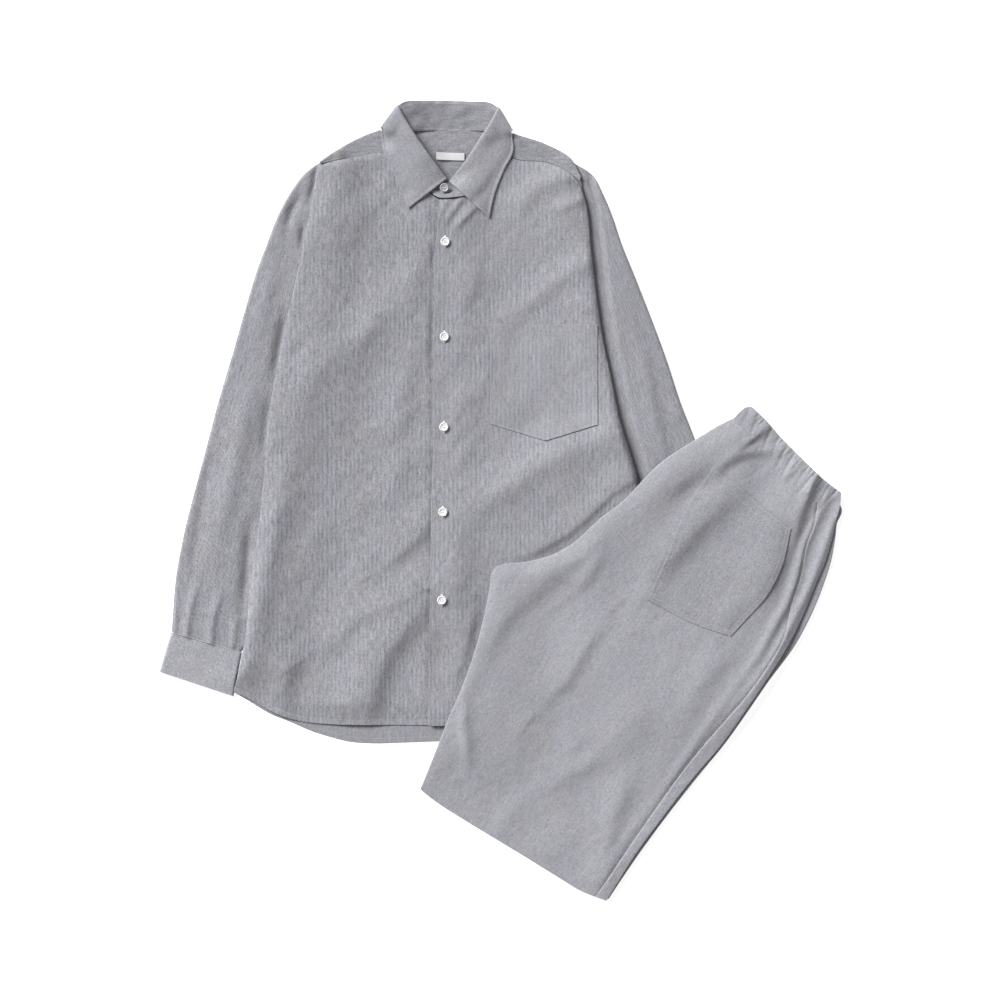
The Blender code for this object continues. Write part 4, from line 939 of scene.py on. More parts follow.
def flat_tube(name, node, sections, thickness, relief, material, seed, rows_step=2.6 * MM, turn=5 * MM):
    """Flattened tube with open ends. Its top and its underside both run from the outer fold to the
    inner one, and each closes to the middle height as a quarter round."""
    table = np.array(sections, float)
    length = np.linalg.norm(np.diff(table[:, :2], axis=0), axis=1).sum() * MM
    places = np.linspace(0.0, 1.0, max(int(length / rows_step), 12))
    outer = curve(table[:, :2], places)
    inner = curve(table[:, 2:], places)
    width = np.linalg.norm(inner - outer, axis=1)[:, None]
    top = spaced(float(width.mean()))
    under = spaced(float(width.mean()), 7 * MM)[1:-1][::-1]

    def skin(inset):
        def half(fractions, upper):
            across = inset / width + fractions[None] * (1 - 2 * inset / width)
            xy = outer[:, None] * (1 - across[..., None]) + inner[:, None] * across[..., None]
            gap = np.minimum(fractions, 1 - fractions)[None] * width
            thick = thickness(xy)
            bow = rolled(gap, turn if upper else 0.6 * turn)
            middle = TUBE_EDGE * thick
            if upper:
                height = middle + (thick - middle + relief(xy) - inset) * bow
            else:
                height = middle - (middle - inset) * bow
            return with_height(xy, height)
        return np.concatenate([half(top, True), half(under, False)], axis=1)

    outside, inside = skin(0.0), skin(CLOTH)
    count = outside.shape[1]
    index = np.arange(len(places) * count).reshape(-1, count)
    body = ring_faces(index)
    shift = index.size
    ends = []
    for row, flip in ((0, 1), (-1, -1)):
        p, q = index[row], np.roll(index[row], -1)
        ends.append(np.stack([q, p, p + shift, q + shift], 1)[:, ::flip])
    faces = np.concatenate([body, body[:, ::-1] + shift] + ends)
    ahead = travel((outer + inner) / 2)
    fractions = np.concatenate([top, 2 - under])
    pattern = np.stack(np.broadcast_arrays(fractions[None] * width + seed, ahead[:, None] + seed), -1)
    pattern = np.concatenate([pattern.reshape(-1, 2)] * 2)
    points = np.concatenate([outside.reshape(-1, 3), inside.reshape(-1, 3)])
    press(outside[:, :len(top)])
    dress(build(name, points, faces, pattern, material), node)
    return outside[:, :len(top)]


def beyond_body(xy, body_side):
    """Distance of places past the side of the body, towards the sleeve."""
    ends = np.array(body_side, float) * MM
    order = np.argsort(ends[:, 1])
    side = np.interp(xy[..., 1], ends[order, 1], ends[order, 0])
    return side - xy[..., 0] if ends[:, 0].mean() < -0.1 else xy[..., 0] - side


def sleeve_thickness(body_side, channel):
    """Thickness of a sleeve: pressed under the body and in a channel beside it, then full."""
    def thickness(xy):
        past = beyond_body(xy, body_side) - channel
        return SLEEVE_PRESSED + (SLEEVE_THICK - SLEEVE_PRESSED) * ease_in(past / (7 * MM))
    return thickness


def sleeve_relief(body_side, channel, seed, angle):
    """Folds of a sleeve, which lie flat again where the body or the shorts cover it."""
    def relief(xy):
        past = beyond_body(xy, body_side) - 0.6 * channel
        raised = fold_relief(xy, SLEEVE_FOLDS) + handling(xy, angle, seed, 0.75)
        raised = np.clip(raised, LEAST_SLEEVE - SLEEVE_THICK, SLEEVE_RISE)
        return raised * ease_in((past + 2 * MM) / (8 * MM)) * (1 - 0.8 * read_map(covered, xy))
    return relief


def turned_rows(line, inward, low, high, rising, reach=None, count=13):
    """Rows of a half turn about a line, from the low layer to the high one or back down: a half
    circle, or a half ellipse where its reach sideways is given."""
    radius = (high - low) / 2
    angles = np.radians(np.linspace(-90, 90, count))
    if not rising:
        angles = angles[::-1]
    rows = []
    for angle in angles:
        sideways = (radius if reach is None else reach) * (1 - np.cos(angle))
        place = line + np.broadcast_to(sideways, radius.shape)[..., None] * inward
        rows.append(with_height(place, low + radius * (1 + np.sin(angle))))
    return np.array(rows)


def band(name, node, rows, columns, low, lift, root_turn, thick, material, seed, bead):
    """Collar band: a strip that lies low at the back of the neck and turns over at each shoulder to
    come forward on top. rows holds the right front, the right turn, the back, the left turn and
    the left front. Its root is lifted, less so towards its front ends, and rolls down again over a
    short turn. The back climbs towards its turns. A bead runs along its free edges."""
    places = spaced(BAND_DEPTH, BAND_DEPTH / columns)

    def across(table):
        ends = np.array(table, float).reshape(-1, 4) * MM
        return ends[:, None, :2] * (1 - places)[:, None] + ends[:, None, 2:] * places[:, None]

    def on_top(xy, from_end):
        share = 0.1 + 0.9 * ease_in(from_end / (70 * MM))[:, None]
        root = root_turn * (1 - rolled(places * BAND_DEPTH, 3.2 * MM))
        raised = share * (lift * (1 - places)**1.6 - root)
        ripple = handling(xy, 50, int(100 * seed), 0.4)
        return with_height(xy, resting(xy, 3, 3) + raised + ripple + thick / 2 + GAP)

    def travelled(rows_of_points):
        return travel(rows_of_points[:, columns // 2, :2])

    right, right_turn, back, left_turn, left = (across(table) for table in rows)
    first_line, last_line = right_turn[0], left_turn[0]
    first_in, last_in = unit(back[0] - first_line), unit(back[-1] - last_line)
    right = cubic(np.concatenate([right, (first_line + TURN_REACH * first_in)[None]]), FRONT_ROWS)
    right = on_top(right, travelled(right))
    left = cubic(np.concatenate([(last_line + TURN_REACH * last_in)[None], left]), FRONT_ROWS)
    along = travelled(left)
    left = on_top(left, along[-1] - along)
    first_low, last_low = low + BACK_CLIMB[0], low + BACK_CLIMB[1]
    right[-1, :, 2] = np.maximum(right[-1, :, 2], first_low + LEAST_TURN)
    left[0, :, 2] = np.maximum(left[0, :, 2], last_low + LEAST_TURN)
    first = turned_rows(first_line, first_in, first_low, right[-1, :, 2], False, TURN_REACH)
    last = turned_rows(last_line, last_in, last_low, left[0, :, 2], True, TURN_REACH)
    back = cubic(np.concatenate([first[-1, :, :2][None], back, last[0, :, :2][None]]), BACK_ROWS)
    along = travelled(back)
    climb = (BACK_CLIMB[0] * np.exp(-(along / (30 * MM))**2)
             + BACK_CLIMB[1] * np.exp(-((along[-1] - along) / (20 * MM))**2))
    sag = 0.4 * MM * waves(back, 22, 15, 25, int(100 * seed) + 5)
    back = with_height(back, low + climb[:, None] + sag)
    back[0], back[-1] = first[-1], last[0]
    right[-1], left[0] = first[0], last[-1]
    middle = np.concatenate([right[:-1], first, back[1:-1], last, left[1:]])
    along = travel(middle.mean(axis=1))
    to_end = np.minimum(along, along[-1] - along)[:, None]
    from_edge = np.minimum(((1 - places) * BAND_DEPTH)[None], to_end)
    pucker = 1 + 0.35 * np.sin(2 * np.pi * (along / (7 * MM)) + 2 * np.sin(along / (23 * MM)))[:, None]
    swell = bead * (np.exp(-((from_edge - 1.2 * MM) / (1.3 * MM))**2)
                    - 0.8 * pucker * np.exp(-((from_edge - 3.6 * MM) / (1.4 * MM))**2))
    offset = normals(middle) * thick / 2
    if offset[:20, :, 2].mean() < 0:
        offset = -offset
    lower, upper = middle - offset, middle + offset * (1 + 2 * swell / thick)[..., None]
    press(lower)
    press(upper)
    pattern = np.stack(np.broadcast_arrays(places[None] * BAND_DEPTH + seed, along[:, None] + seed), -1)
    dress(wall(name, lower, upper, pattern, material), node)
    return upper


def make_yoke(material):
    """Yoke: flat inside the back of the neck, turned over both shoulder lines to the front seams.
    Gives the map as it was before its front strips, and the middle surface of those strips."""
    shoulder, neck = np.linspace(0, 1, YOKE_SHOULDER), np.linspace(0, 1, YOKE_NECK)
    fold = np.concatenate([curve(RIGHT_SHOULDER, shoulder), curve(NECK_SEAM, neck),
                           curve(LEFT_SHOULDER, shoulder)])
    seam = np.concatenate([curve(RIGHT_YOKE_SEAM, shoulder), curve(NECK_SEAM, neck),
                           curve(LEFT_YOKE_SEAM, shoulder)])
    columns = len(fold)
    back_x = np.linspace(*BACK_SEAM_ENDS, columns) * MM
    back = np.stack([back_x, np.full(columns, BACK_SEAM_Y * MM)], axis=1)
    at_neck = np.zeros(columns, bool)
    at_neck[len(shoulder):-len(shoulder)] = True
    radius = (CLOTH + GAP + EASE) / 2
    inward = seam - fold
    length = np.linalg.norm(inward, axis=1, keepdims=True)
    inward = np.where(at_neck[:, None], 0.0, inward / np.maximum(length, MM))
    start = fold + inward * radius
    flat = np.linspace(0, 1, YOKE_UNDER)[:, None, None]
    under = back * (1 - flat) + start * flat
    soft = np.clip(handling(under, 10, 31, 0.8), -0.3 * MM, 0.8 * MM) + 0.4 * MM
    soft = soft * ease_in((1 - flat[:, :, 0]) * 12) + fold_relief(under, (NECK_RISE,))
    under = with_height(under, resting(under, 9, 5) + CLOTH / 2 + soft)
    press(under + (0, 0, CLOTH / 2))
    ground = heights.copy()
    low = under[-1, :, 2]
    turn = turned_rows(fold, inward, low, low + 2 * radius, True, None, 9)
    strip = np.linspace(0, 1, YOKE_STRIP)[1:, None, None]
    front = start * (1 - strip) + seam * strip
    settled = resting(front, 4, 3) + CLOTH / 2 + 0.5 * MM + 0.5 * handling(front, 20, 33)
    front = with_height(front, np.maximum(settled, low + 2 * radius - 0.8 * MM * ease_in(strip[:, :, 0])))
    middle = np.concatenate([under[:-1], turn, front])
    offset = normals(middle) * CLOTH / 2
    keep = np.ones((middle.shape[0] - 1, columns - 1), bool)
    keep[len(under) - 1:, at_neck[:-1] | at_neck[1:]] = False
    lower, upper = middle - offset, middle + offset
    press(front + (0, 0, CLOTH / 2))
    pattern = grain(middle[..., :2], 90, 0.3)
    dress(wall("yoke_cloth", lower, upper, pattern, material, keep), "shirt_yoke")
    return ground, front


def make_sleeves(finish):
    """Sleeves: flattened tubes beside the body and under it. The left one has a channel beside the
    body."""
    sleeves = (
        # side, sections, side of the body, pressed up to, folds from, angle of its waves, seeds
        ("right", RIGHT_SLEEVE, RIGHT_SIDE, -16 * MM, -8 * MM, 72, 41, 0.5),
        ("left", LEFT_SLEEVE, LEFT_SIDE, SHADED_STRIP, SHADED_STRIP, 108, 43, 0.7),
    )
    for side, sections, body_side, pressed, folded, angle, seed, pattern_seed in sleeves:
        flat_tube(f"{side}_sleeve_cloth", f"shirt_{side}_sleeve", sections,
                  sleeve_thickness(body_side, pressed), sleeve_relief(body_side, folded, seed, angle),
                  finish[f"{side} sleeve"], pattern_seed)


def make_label(finish):
    """Neck label: a short tape, read between its four corners."""
    s = spaced(0.035, 1.2 * MM)[None, :, None]
    t = spaced(0.009, 1.2 * MM)[:, None, None]
    corners = np.array(LABEL, float) * MM
    xy = (1 - t) * ((1 - s) * corners[0] + s * corners[3]) + t * ((1 - s) * corners[1] + s * corners[2])
    sew("neck_label_tape", "shirt_neck_label", finish["label"], xy, 0.25 * MM, LABEL_SETTLE,
        grain(xy, 90), None, 0.5 * MM)


def side_below(outline, top):
    """The stretch of a side that lies below a height, cut off at that height."""
    table = np.array(outline, float)
    cut = np.interp(-top, -table[:, 1], table[:, 0])
    return np.concatenate([[(cut, top)], table[table[:, 1] < top]])


def make_back(finish, ground):
    """Back: from the yoke's seam to its curved hem. It stands clear of what is beneath by an even
    lift, with slight waves near the hem."""
    top = BACK_SEAM_Y - 0.4
    first, last = BACK_SEAM_ENDS
    seam = ((first, top), ((first + last) / 2, top), (last, top))
    down = np.concatenate([np.linspace(0, 0.86, 84), 0.86 + 0.14 * spaced(0.09, 2.4 * MM, False)[1:]])
    xy = framed(seam, BACK_HEM, side_below(RIGHT_SIDE, top), side_below(LEFT_SIDE, top),
                spaced(0.45, 4.6 * MM), down)
    hem = traced(BACK_HEM)
    gap = nearest(xy, hem)[0]
    relief = seam_relief(xy, hem, HEM_INSET, 0.3, 0.25, 11, 1.0) + 0.5 * MM
    relief = relief + 0.35 * MM * ease_in(1 - gap / (40 * MM)) * (0.6 + 0.5 * waves(xy, 60, 85, 15, 5))
    return sew("back_cloth", "shirt_back", finish["back"], xy, relief * ease_in(gap / (30 * MM) + 0.35),
               PANEL_SETTLE, grain(xy, 0, 0.11), ground)


def sewn_front(xy, relief, hem, side, yoke_seam, side_share, side_turn, groove, seed, extra=0.0):
    """Relief of a front once it is sewn: it rolls down to a share of itself at its side, is stitched
    along its hem and its side, and lies low at the yoke's seam and under the shorts."""
    relief = relief * (side_share + (1 - side_share) * rolled(nearest(xy, side)[0], side_turn * MM))
    relief = relief + seam_relief(xy, hem, HEM_INSET, groove, 0.3, 12, seed)
    relief = relief + seam_relief(xy, side, 3, 0.1, 0.18, 13, seed + 1)
    relief = (relief + extra) * ease_in(0.4 + nearest(xy, traced(yoke_seam))[0] / (12 * MM))
    return relief * (1 - 0.85 * read_map(covered, xy))


def make_right_front(finish, ground, down):
    """Right front, which carries the buttons. Its ease and its folds lie down towards the hem."""
    xy = framed(RIGHT_FRONT_TOP, RIGHT_FRONT_HEM, RIGHT_SIDE, BUTTON_STAND_EDGE, spaced(0.235), down)
    hem, side = traced(RIGHT_FRONT_HEM), traced(RIGHT_SIDE)
    settled = ease_in(nearest(xy, hem)[0] / (30 * MM))
    relief = (EASE + handling(xy, 52, 11, 0.75)) * (0.05 + 0.95 * settled)
    relief = relief + fold_relief(xy, RIGHT_FRONT_FOLDS) * (0.4 + 0.6 * settled)
    relief = sewn_front(xy, relief, hem, side, RIGHT_YOKE_SEAM, 0.3, 9, 0.35, 2.0)
    return sew("right_front_cloth", "shirt_right_front", finish["right front"], xy, relief,
               FRONT_SETTLE, grain(xy), ground)


def make_left_front(finish, ground, down):
    """Left front, which laps over the right one. Its ease lies down towards the front edge, a ridge
    runs along its side, and every button draws a dimple into it, a bell in both directions."""
    xy = framed(LEFT_FRONT_TOP, LEFT_FRONT_HEM, FRONT_EDGE, LEFT_SIDE, spaced(0.25), down)
    hem, side = traced(LEFT_FRONT_HEM), traced(LEFT_SIDE)
    gap = nearest(xy, traced(FRONT_EDGE))[0]
    relief = EASE + handling(xy, 48, 17, 0.75)
    relief = relief * (0.28 + 0.72 * ease_in(gap / (38 * MM))) + fold_relief(xy, LEFT_FRONT_FOLDS)
    ridge = tuple((x - 11, y) for x, y in LEFT_SIDE)
    relief = relief + fold_relief(xy, ((ridge, 13, 26, 2.2, 0.5, 0.8),))
    for x, y in BUTTONS[1:]:
        away = xy - np.array((x, y)) * MM
        dimple = np.hypot(away[..., 0] / (9 * MM), away[..., 1] / (15 * MM))
        relief = relief - 0.5 * MM * np.exp(-dimple**2)
    edge_waves = 0.25 * MM * waves(xy, 70, 0, 20, 61) * np.exp(-(gap / (10 * MM))**2)
    relief = sewn_front(xy, relief, hem, side, LEFT_YOKE_SEAM, 0.0, 7, 0.3, 4.0, edge_waves)
    relief = relief * (0.02 + 0.98 * ease_in(nearest(xy, hem)[0] / (20 * MM)))
    return sew("left_front_cloth", "shirt_left_front", finish["left front"], xy, relief,
               FRONT_SETTLE, grain(xy, 0, 0.05), ground)


def make_chest_pocket(finish):
    """Chest pocket: a patch with a pointed bottom and a hemmed top."""
    sides = [(CHEST_TOP[end], (CHEST_TOP[end][0], 157), CHEST_BOTTOM[end]) for end in (0, -1)]
    xy = framed(CHEST_TOP, CHEST_BOTTOM, *sides, spaced(0.134, 2.2 * MM), spaced(0.135, 2.2 * MM), straight)
    seams = CHEST_TOP[:1] + CHEST_BOTTOM + CHEST_TOP[1:]
    lift = 0.35 * MM * rolled(nearest(xy, seams)[0], 14 * MM) + seam_relief(xy, seams, 2, 0.15, 0.14, 9, 1.5)
    lift = lift + 0.2 * MM * ease_in(1 - nearest(xy, CHEST_TOP)[0] / (12 * MM))
    return sew("chest_pocket_cloth", "shirt_chest_pocket", finish["chest pocket"], xy, lift - 0.16 * MM,
               PATCH_SETTLE, grain(xy, 0, 0.052), None, 0.25 * MM)


def make_collar(finish):
    """Collar: the stand, then the leaf over it. Gives the upper surface of each."""
    # The stand wears a darker copy of the cotton, painted shade inside the neck.
    stand = band("collar_stand_cloth", "shirt_collar_stand",
                 (STAND_UNDER, STAND_RIGHT_TURN, STAND_BACK, STAND_LEFT_TURN, STAND_OVER),
                 15, 1.7 * CLOTH + 0.8 * MM, 5.0 * MM, 0.0, 0.7 * MM, finish["stand"], 0.21, 0.15 * MM)
    leaf = band("collar_leaf_cloth", "shirt_collar",
                (COLLAR_RIGHT, COLLAR_RIGHT_TURN, COLLAR_BACK, COLLAR_LEFT_TURN, COLLAR_LEFT),
                24, 0.6 * MM, 2.2 * MM, 2.0 * MM, 0.8 * MM, finish["collar"], 0.33, 0.35 * MM)
    return stand, leaf


def make_shirt(finish):
    """Shirt, from the sleeves and the back up to the collar and the buttons. The fronts lie beside the
    yoke's front strips and not on them, so they are laid on the map as it was before those. Gives the
    lines of its stitches."""
    # The back of the collar lies lowest, so the map holds its place before anything is laid
    beneath = np.array((COLLAR_RIGHT_TURN,) + COLLAR_BACK + (COLLAR_LEFT_TURN,), float) * MM
    press(np.stack([with_height(side, 1.2 * MM) for side in (beneath[:, :2], beneath[:, 2:])]))
    make_sleeves(finish)
    # The yoke's cotton is a slightly darker copy, painted shade for the inside of the neck.
    ground, strip = make_yoke(finish["yoke"])
    lines = [strip[-3] + (0, 0, CLOTH / 2)]
    make_label(finish)
    down = spaced(0.70, 2.4 * MM)
    back = make_back(finish, ground)
    ground = np.maximum(ground, map_of(back))
    right_front = make_right_front(finish, ground, down)
    ground = np.maximum(ground, map_of(right_front))
    left_front = make_left_front(finish, ground, down)
    lines += [inset_line(panel, "bottom", HEM_INSET * MM) for panel in (back, right_front, left_front)]
    pocket = make_chest_pocket(finish)
    lines += [inset_line(pocket, side, 1.8 * MM, 1 * MM) for side in ("left", "right", "bottom")]
    stand, leaf = make_collar(finish)
    for number, centre in enumerate(BUTTONS, start=1):
        make_button(number, centre, finish)
    for surface, side in ((stand, "right"), (leaf, "right"), (leaf, "top"), (leaf, "bottom")):
        lines.append(inset_line(surface, side, 2.2 * MM, 2 * MM))
    return lines


def make_button(number, centre, finish):
    """Four-hole button: a disc with a round rim and a dished middle, its holes sunk through it, and
    two bars of thread. Under it, but for the first, lies a stitched buttonhole that shows past it."""
    radius = BUTTON_WIDTH / 2
    place = np.array(centre) * MM
    turns = np.linspace(0, 2 * np.pi, 48, endpoint=False)
    spokes = np.stack([np.cos(turns), np.sin(turns)], axis=1)
    seat = resting(place + 0.8 * radius * spokes, 1, 1).max()
    if number > 1:
        make_buttonhole(number, place, seat, finish)
        seat += 0.5 * MM
    out = np.concatenate([[0.0], np.linspace(0.04, 0.6, 15), np.linspace(0.65, 1.0, 9)])
    flat = out[:, None, None] * radius * spokes[None]
    rim = np.exp(-((out - 0.82) / 0.11)**2)
    body = 0.62 + 0.38 * rim - 0.25 * ease_in((out - 0.88) / 0.12)
    top = np.broadcast_to((body * BUTTON_THICK)[:, None], flat.shape[:2]).copy()
    for x, y in ((1, 1), (1, -1), (-1, 1), (-1, -1)):
        away = np.linalg.norm(flat - np.array((x, y)) * HOLE_PLACE, axis=-1)
        top -= 0.9 * MM * ease_in((HOLE_RADIUS - away) / (0.45 * MM))
    rings = [with_height(place + flat, seat + top)]
    sides = ((1.03, 0.5), (1.0, 0.3), (0.9, 0.08), (0.6, 0.0), (0.0, 0.0))
    for share, up in sides:
        ring = place + share * radius * spokes
        rings.append(with_height(ring, seat + up * BUTTON_THICK)[None])
    rings = np.concatenate(rings)
    rows, count = rings.shape[:2]
    index = np.arange(rows * count).reshape(rows, count)
    index[0] = index[0, 0]
    index[-1] = index[-1, 0]
    faces = ring_faces(index)[:, (0, 3, 2, 1)]
    # The first button takes a darker copy of the pearl: painted shade for the collar leaves' shadow over it.
    pearl = finish["top button" if number == 1 else "button"]
    disc = polygons(f"button_{number}", rings.reshape(-1, 3), faces, pearl)
    dress(disc, f"shirt_button_{number}")
    bars = []
    for x in (-1, 1):
        bars.append(np.array([(place[0] + x * HOLE_PLACE, place[1] + y * 1.5 * MM,
                               seat + 0.62 * BUTTON_THICK) for y in (-1, 1)]))
    stitching(f"button_thread_{number}", bars, finish["white thread"], 2.9 * MM, 0.42 * MM)


def polygons(name, points, faces, material):
    """Mesh from faces whose corners may meet at a pole, where they become three-cornered."""
    used, faces = np.unique(faces, return_inverse=True)
    faces = faces.reshape(-1, 4)
    listed = []
    for face in faces.tolist():
        corners = list(dict.fromkeys(face))
        if len(corners) > 2:
            listed.append(corners)
    mesh = bpy.data.meshes.new(name)
    mesh.from_pydata(points[used].tolist(), [], listed)
    return finished(name, mesh, material, SHARP_BUTTON)


def make_buttonhole(number, place, seat, finish):
    """Buttonhole: a long ring of close stitches, a small tube along a slot with round ends, whose
    thread ribs its surface."""
    turn = np.linspace(0, 2 * np.pi, 120, endpoint=False)
    half, wide, tube, around = 7.2 * MM, 1.0 * MM, 0.62 * MM, 8
    x = wide * np.sign(np.cos(turn)) * np.abs(np.cos(turn))**0.6
    y = half * np.sign(np.sin(turn)) * np.abs(np.sin(turn))**0.75
    run = np.stack([np.gradient(x), np.gradient(y)], axis=1)
    out = unit(np.stack([run[:, 1], -run[:, 0]], axis=1))
    ribs = 1 + 0.14 * np.cos(30 * turn)
    spin = np.linspace(0, 2 * np.pi, around, endpoint=False)
    sideways = (ribs[:, None] * tube * np.cos(spin))[..., None] * out[:, None]
    xy = (place + np.stack([x, y], axis=1))[:, None] + sideways
    up = seat - 0.15 * MM + 0.55 * tube * ribs[:, None] * np.sin(spin)
    points = with_height(xy, up)
    index = np.arange(turn.size * around).reshape(-1, around)
    faces = ring_faces(np.concatenate([index, index[:1]]))
    thing = build(f"buttonhole_{number}", points.reshape(-1, 3), faces, None, finish["white thread"])


def make_cuffs(finish):
    """Cuffs, short stiff tubes past the sleeves' ends. Gives the lines of their stitches."""
    lines = []
    for side, sections, seed in (("right", RIGHT_CUFF, 0.9), ("left", LEFT_CUFF, 1.3)):
        surface = flat_tube(
            f"{side}_cuff_cloth", f"shirt_{side}_cuff", sections,
            lambda xy: np.full(xy.shape[:-1], CUFF_THICK),
            lambda xy: handling(xy, 30, 71, 0.5) + 0.3 * MM * waves(xy, 40, -15, 20, 72),
            finish["cuff"], seed, 1.3 * MM, 4 * MM)
        lines += [inset_line(surface, end, 2.0 * MM, 3 * MM) for end in ("top", "bottom")]
    return lines


def gather_relief(xy):
    """Gathers of the elastic waist: narrow troughs from the waist's edge down along the leg, with
    full cloth beside them. Each is a wide low bell less a narrow one, and fades along its path."""
    relief = np.zeros(xy.shape[:-1])
    for place, width, depth, length, turn in GATHERS:
        start = curve(WAIST_EDGE, np.array((place,)))[0] / MM
        angle = np.radians(turn)
        spin = np.array(((np.cos(angle), -np.sin(angle)), (np.sin(angle), np.cos(angle))))
        way = spin @ LEG_LINE
        path = (start - 3 * way, start + 0.5 * length * way, start + length * way + (2, -1))
        gap, along, whole, _ = nearest(xy, path)
        fade = ease_in((1 - along / whole) / 0.7)
        relief += MM * depth * fade * (0.45 * np.exp(-(gap / (2.4 * width * MM))**2)
                                       - np.exp(-(gap / (width * MM))**2))
    return relief


def layered_stack(name, node, xy, reach, soften, thick, material):
    """Hidden layers as one rounded solid: a draped underside, a soft top and three leaves round its
    edge, each a half round of the rim's height."""
    rows, columns = xy.shape[:2]
    low = resting(xy, reach, soften)
    lower, upper = with_height(xy, low), with_height(xy, low + thick)
    index = np.arange(rows * columns).reshape(rows, columns)
    loop = np.concatenate([index[0, :-1], index[:-1, -1], index[-1, :0:-1], index[:0:-1, 0]])
    edge_low, edge_high = lower.reshape(-1, 3)[loop], upper.reshape(-1, 3)[loop]
    ahead = np.roll(edge_low[:, :2], -2, axis=0) - np.roll(edge_low[:, :2], 2, axis=0)
    out = unit(np.stack([ahead[:, 1], -ahead[:, 0]], axis=1))
    if np.sum((edge_low[:, :2] - edge_low[:, :2].mean(axis=0)) * out) < 0:
        out = -out
    steps = np.linspace(0, 1, 19)[1:-1]
    bulge = np.abs(np.sin(3 * np.pi * steps))**0.5
    travelled = travel(edge_low)
    rings = []
    for up, out_by in zip(steps, bulge):
        ring = edge_low * (1 - up) + edge_high * up
        leaf = int(3 * up)
        sway = 0.5 * MM * np.sin(travelled / (31 * MM) + 2.1 * leaf)
        ring[:, :2] += out * (out_by * 1.3 * MM + sway * np.sin(np.pi * up))[:, None]
        rings.append(ring)
    count, shift = len(loop), rows * columns
    between = 2 * shift + np.arange(len(steps) * count).reshape(-1, count)
    sides = ring_faces(np.concatenate([loop[None], between, loop[None] + shift]))
    top = grid_faces(rows, columns)
    points = np.concatenate([lower.reshape(-1, 3), upper.reshape(-1, 3)] + rings)

    def facing(face):
        return np.cross(points[face[1]] - points[face[0]], points[face[2]] - points[face[0]])

    if facing(top[0])[2] < 0:
        top = top[:, ::-1]
    if facing(sides[0])[:2] @ out[0] < 0:
        sides = sides[:, ::-1]
    faces = np.concatenate([top + shift, top[:, ::-1], sides])
    pattern = grain(points[:, :2], SHORTS_TURN, 0.6)
    pattern = pattern + np.stack([points[:, 2], points[:, 2]], axis=1)
    press(upper)
    dress(build(name, points, faces, pattern, material), node)


def shorts_relief(xy):
    """Relief of the upper leg: its ease, folds and gathers, and a soft swell beside the rise. It rolls
    down at the rise, more widely and lower towards the waist, and at the side, more narrowly there.
    It is stitched along its seams and lies lower at the hem."""
    rise, side, seam = traced(RISE_AND_INSEAM), traced(UPPER_LEG_SIDE), traced(SIDE_SEAM)
    hem = traced(BACK_LEG_HEM + FRONT_LEG_HEM[1:])
    folds = EASE + fold_relief(xy, SHORTS_FOLDS) + handling(xy, 50, 23, 0.7) + 0.75 * gather_relief(xy)
    near_rise = nearest(xy, rise)[0]
    upper = ease_in((xy[..., 1] + 140 * MM) / (70 * MM))
    folds = folds + 1.4 * MM * upper * np.exp(-((near_rise - 24 * MM) / (20 * MM))**2)
    roll = rolled(near_rise, (9 + 14 * upper) * MM)
    folds = folds * (0.55 - 0.45 * upper + (0.45 + 0.45 * upper) * roll)
    above = ease_in((xy[..., 1] + 230 * MM) / (90 * MM))
    folds = folds * rolled(nearest(xy, side)[0] + (3.0 - 2.0 * above) * MM, (9 - 3 * above) * MM)
    sewn = (
        # line, inset, depth, pucker, pitch, seed
        (hem, LEG_HEM_INSET, 0.35, 0.25, 13, 1.0),
        (seam, 0.3, 0.9, 0.3, 14, 2.0),
        (traced(WAIST_SEAM), 0.3, 0.12, 0.3, 8, 3.0),
        (rise, 4, 0.1, 0.2, 12, 4.0),
    )
    for line, *measures in sewn:
        folds = folds + seam_relief(xy, line, *measures)
    return folds * (0.4 + 0.6 * ease_in(nearest(xy, hem)[0] / (20 * MM)))


def make_legs(finish, ground):
    """The upper leg's back and front, sewn side by side. Gives the lines of their stitches."""
    down = spaced(0.60, 2.35 * MM)
    start, end = SIDE_SEAM[0], WAIST_SEAM[-1]
    back_waist = tuple(point for point in WAIST_SEAM if point[0] < start[0]) + (start,)
    xy = framed(back_waist, BACK_LEG_HEM, RISE_AND_INSEAM, SIDE_SEAM, spaced(0.225, 2.2 * MM), down)
    back = sew("shorts_back_leg_cloth", "shorts_back_leg", finish["shorts"], xy, shorts_relief(xy),
               PANEL_SETTLE, grain(xy, SHORTS_TURN, 0.2), ground)
    seam = tuple((x + 0.35, y + 0.2) for x, y in SIDE_SEAM)
    front_waist = (seam[0], ((start[0] + end[0]) / 2, (start[1] + end[1]) / 2), end)
    xy = framed(front_waist, FRONT_LEG_HEM, seam, UPPER_LEG_SIDE, spaced(0.024, 1.5 * MM), down)
    front = sew("shorts_front_leg_cloth", "shorts_front_leg", finish["shorts front"], xy,
                shorts_relief(xy) + 0.15 * MM, PANEL_SETTLE, grain(xy, SHORTS_TURN, 0.9), ground)
    return [inset_line(back, "bottom", LEG_HEM_INSET * MM), inset_line(back, "right", 1.6 * MM, 4 * MM),
            inset_line(front, "left", 2.2 * MM, 4 * MM)]


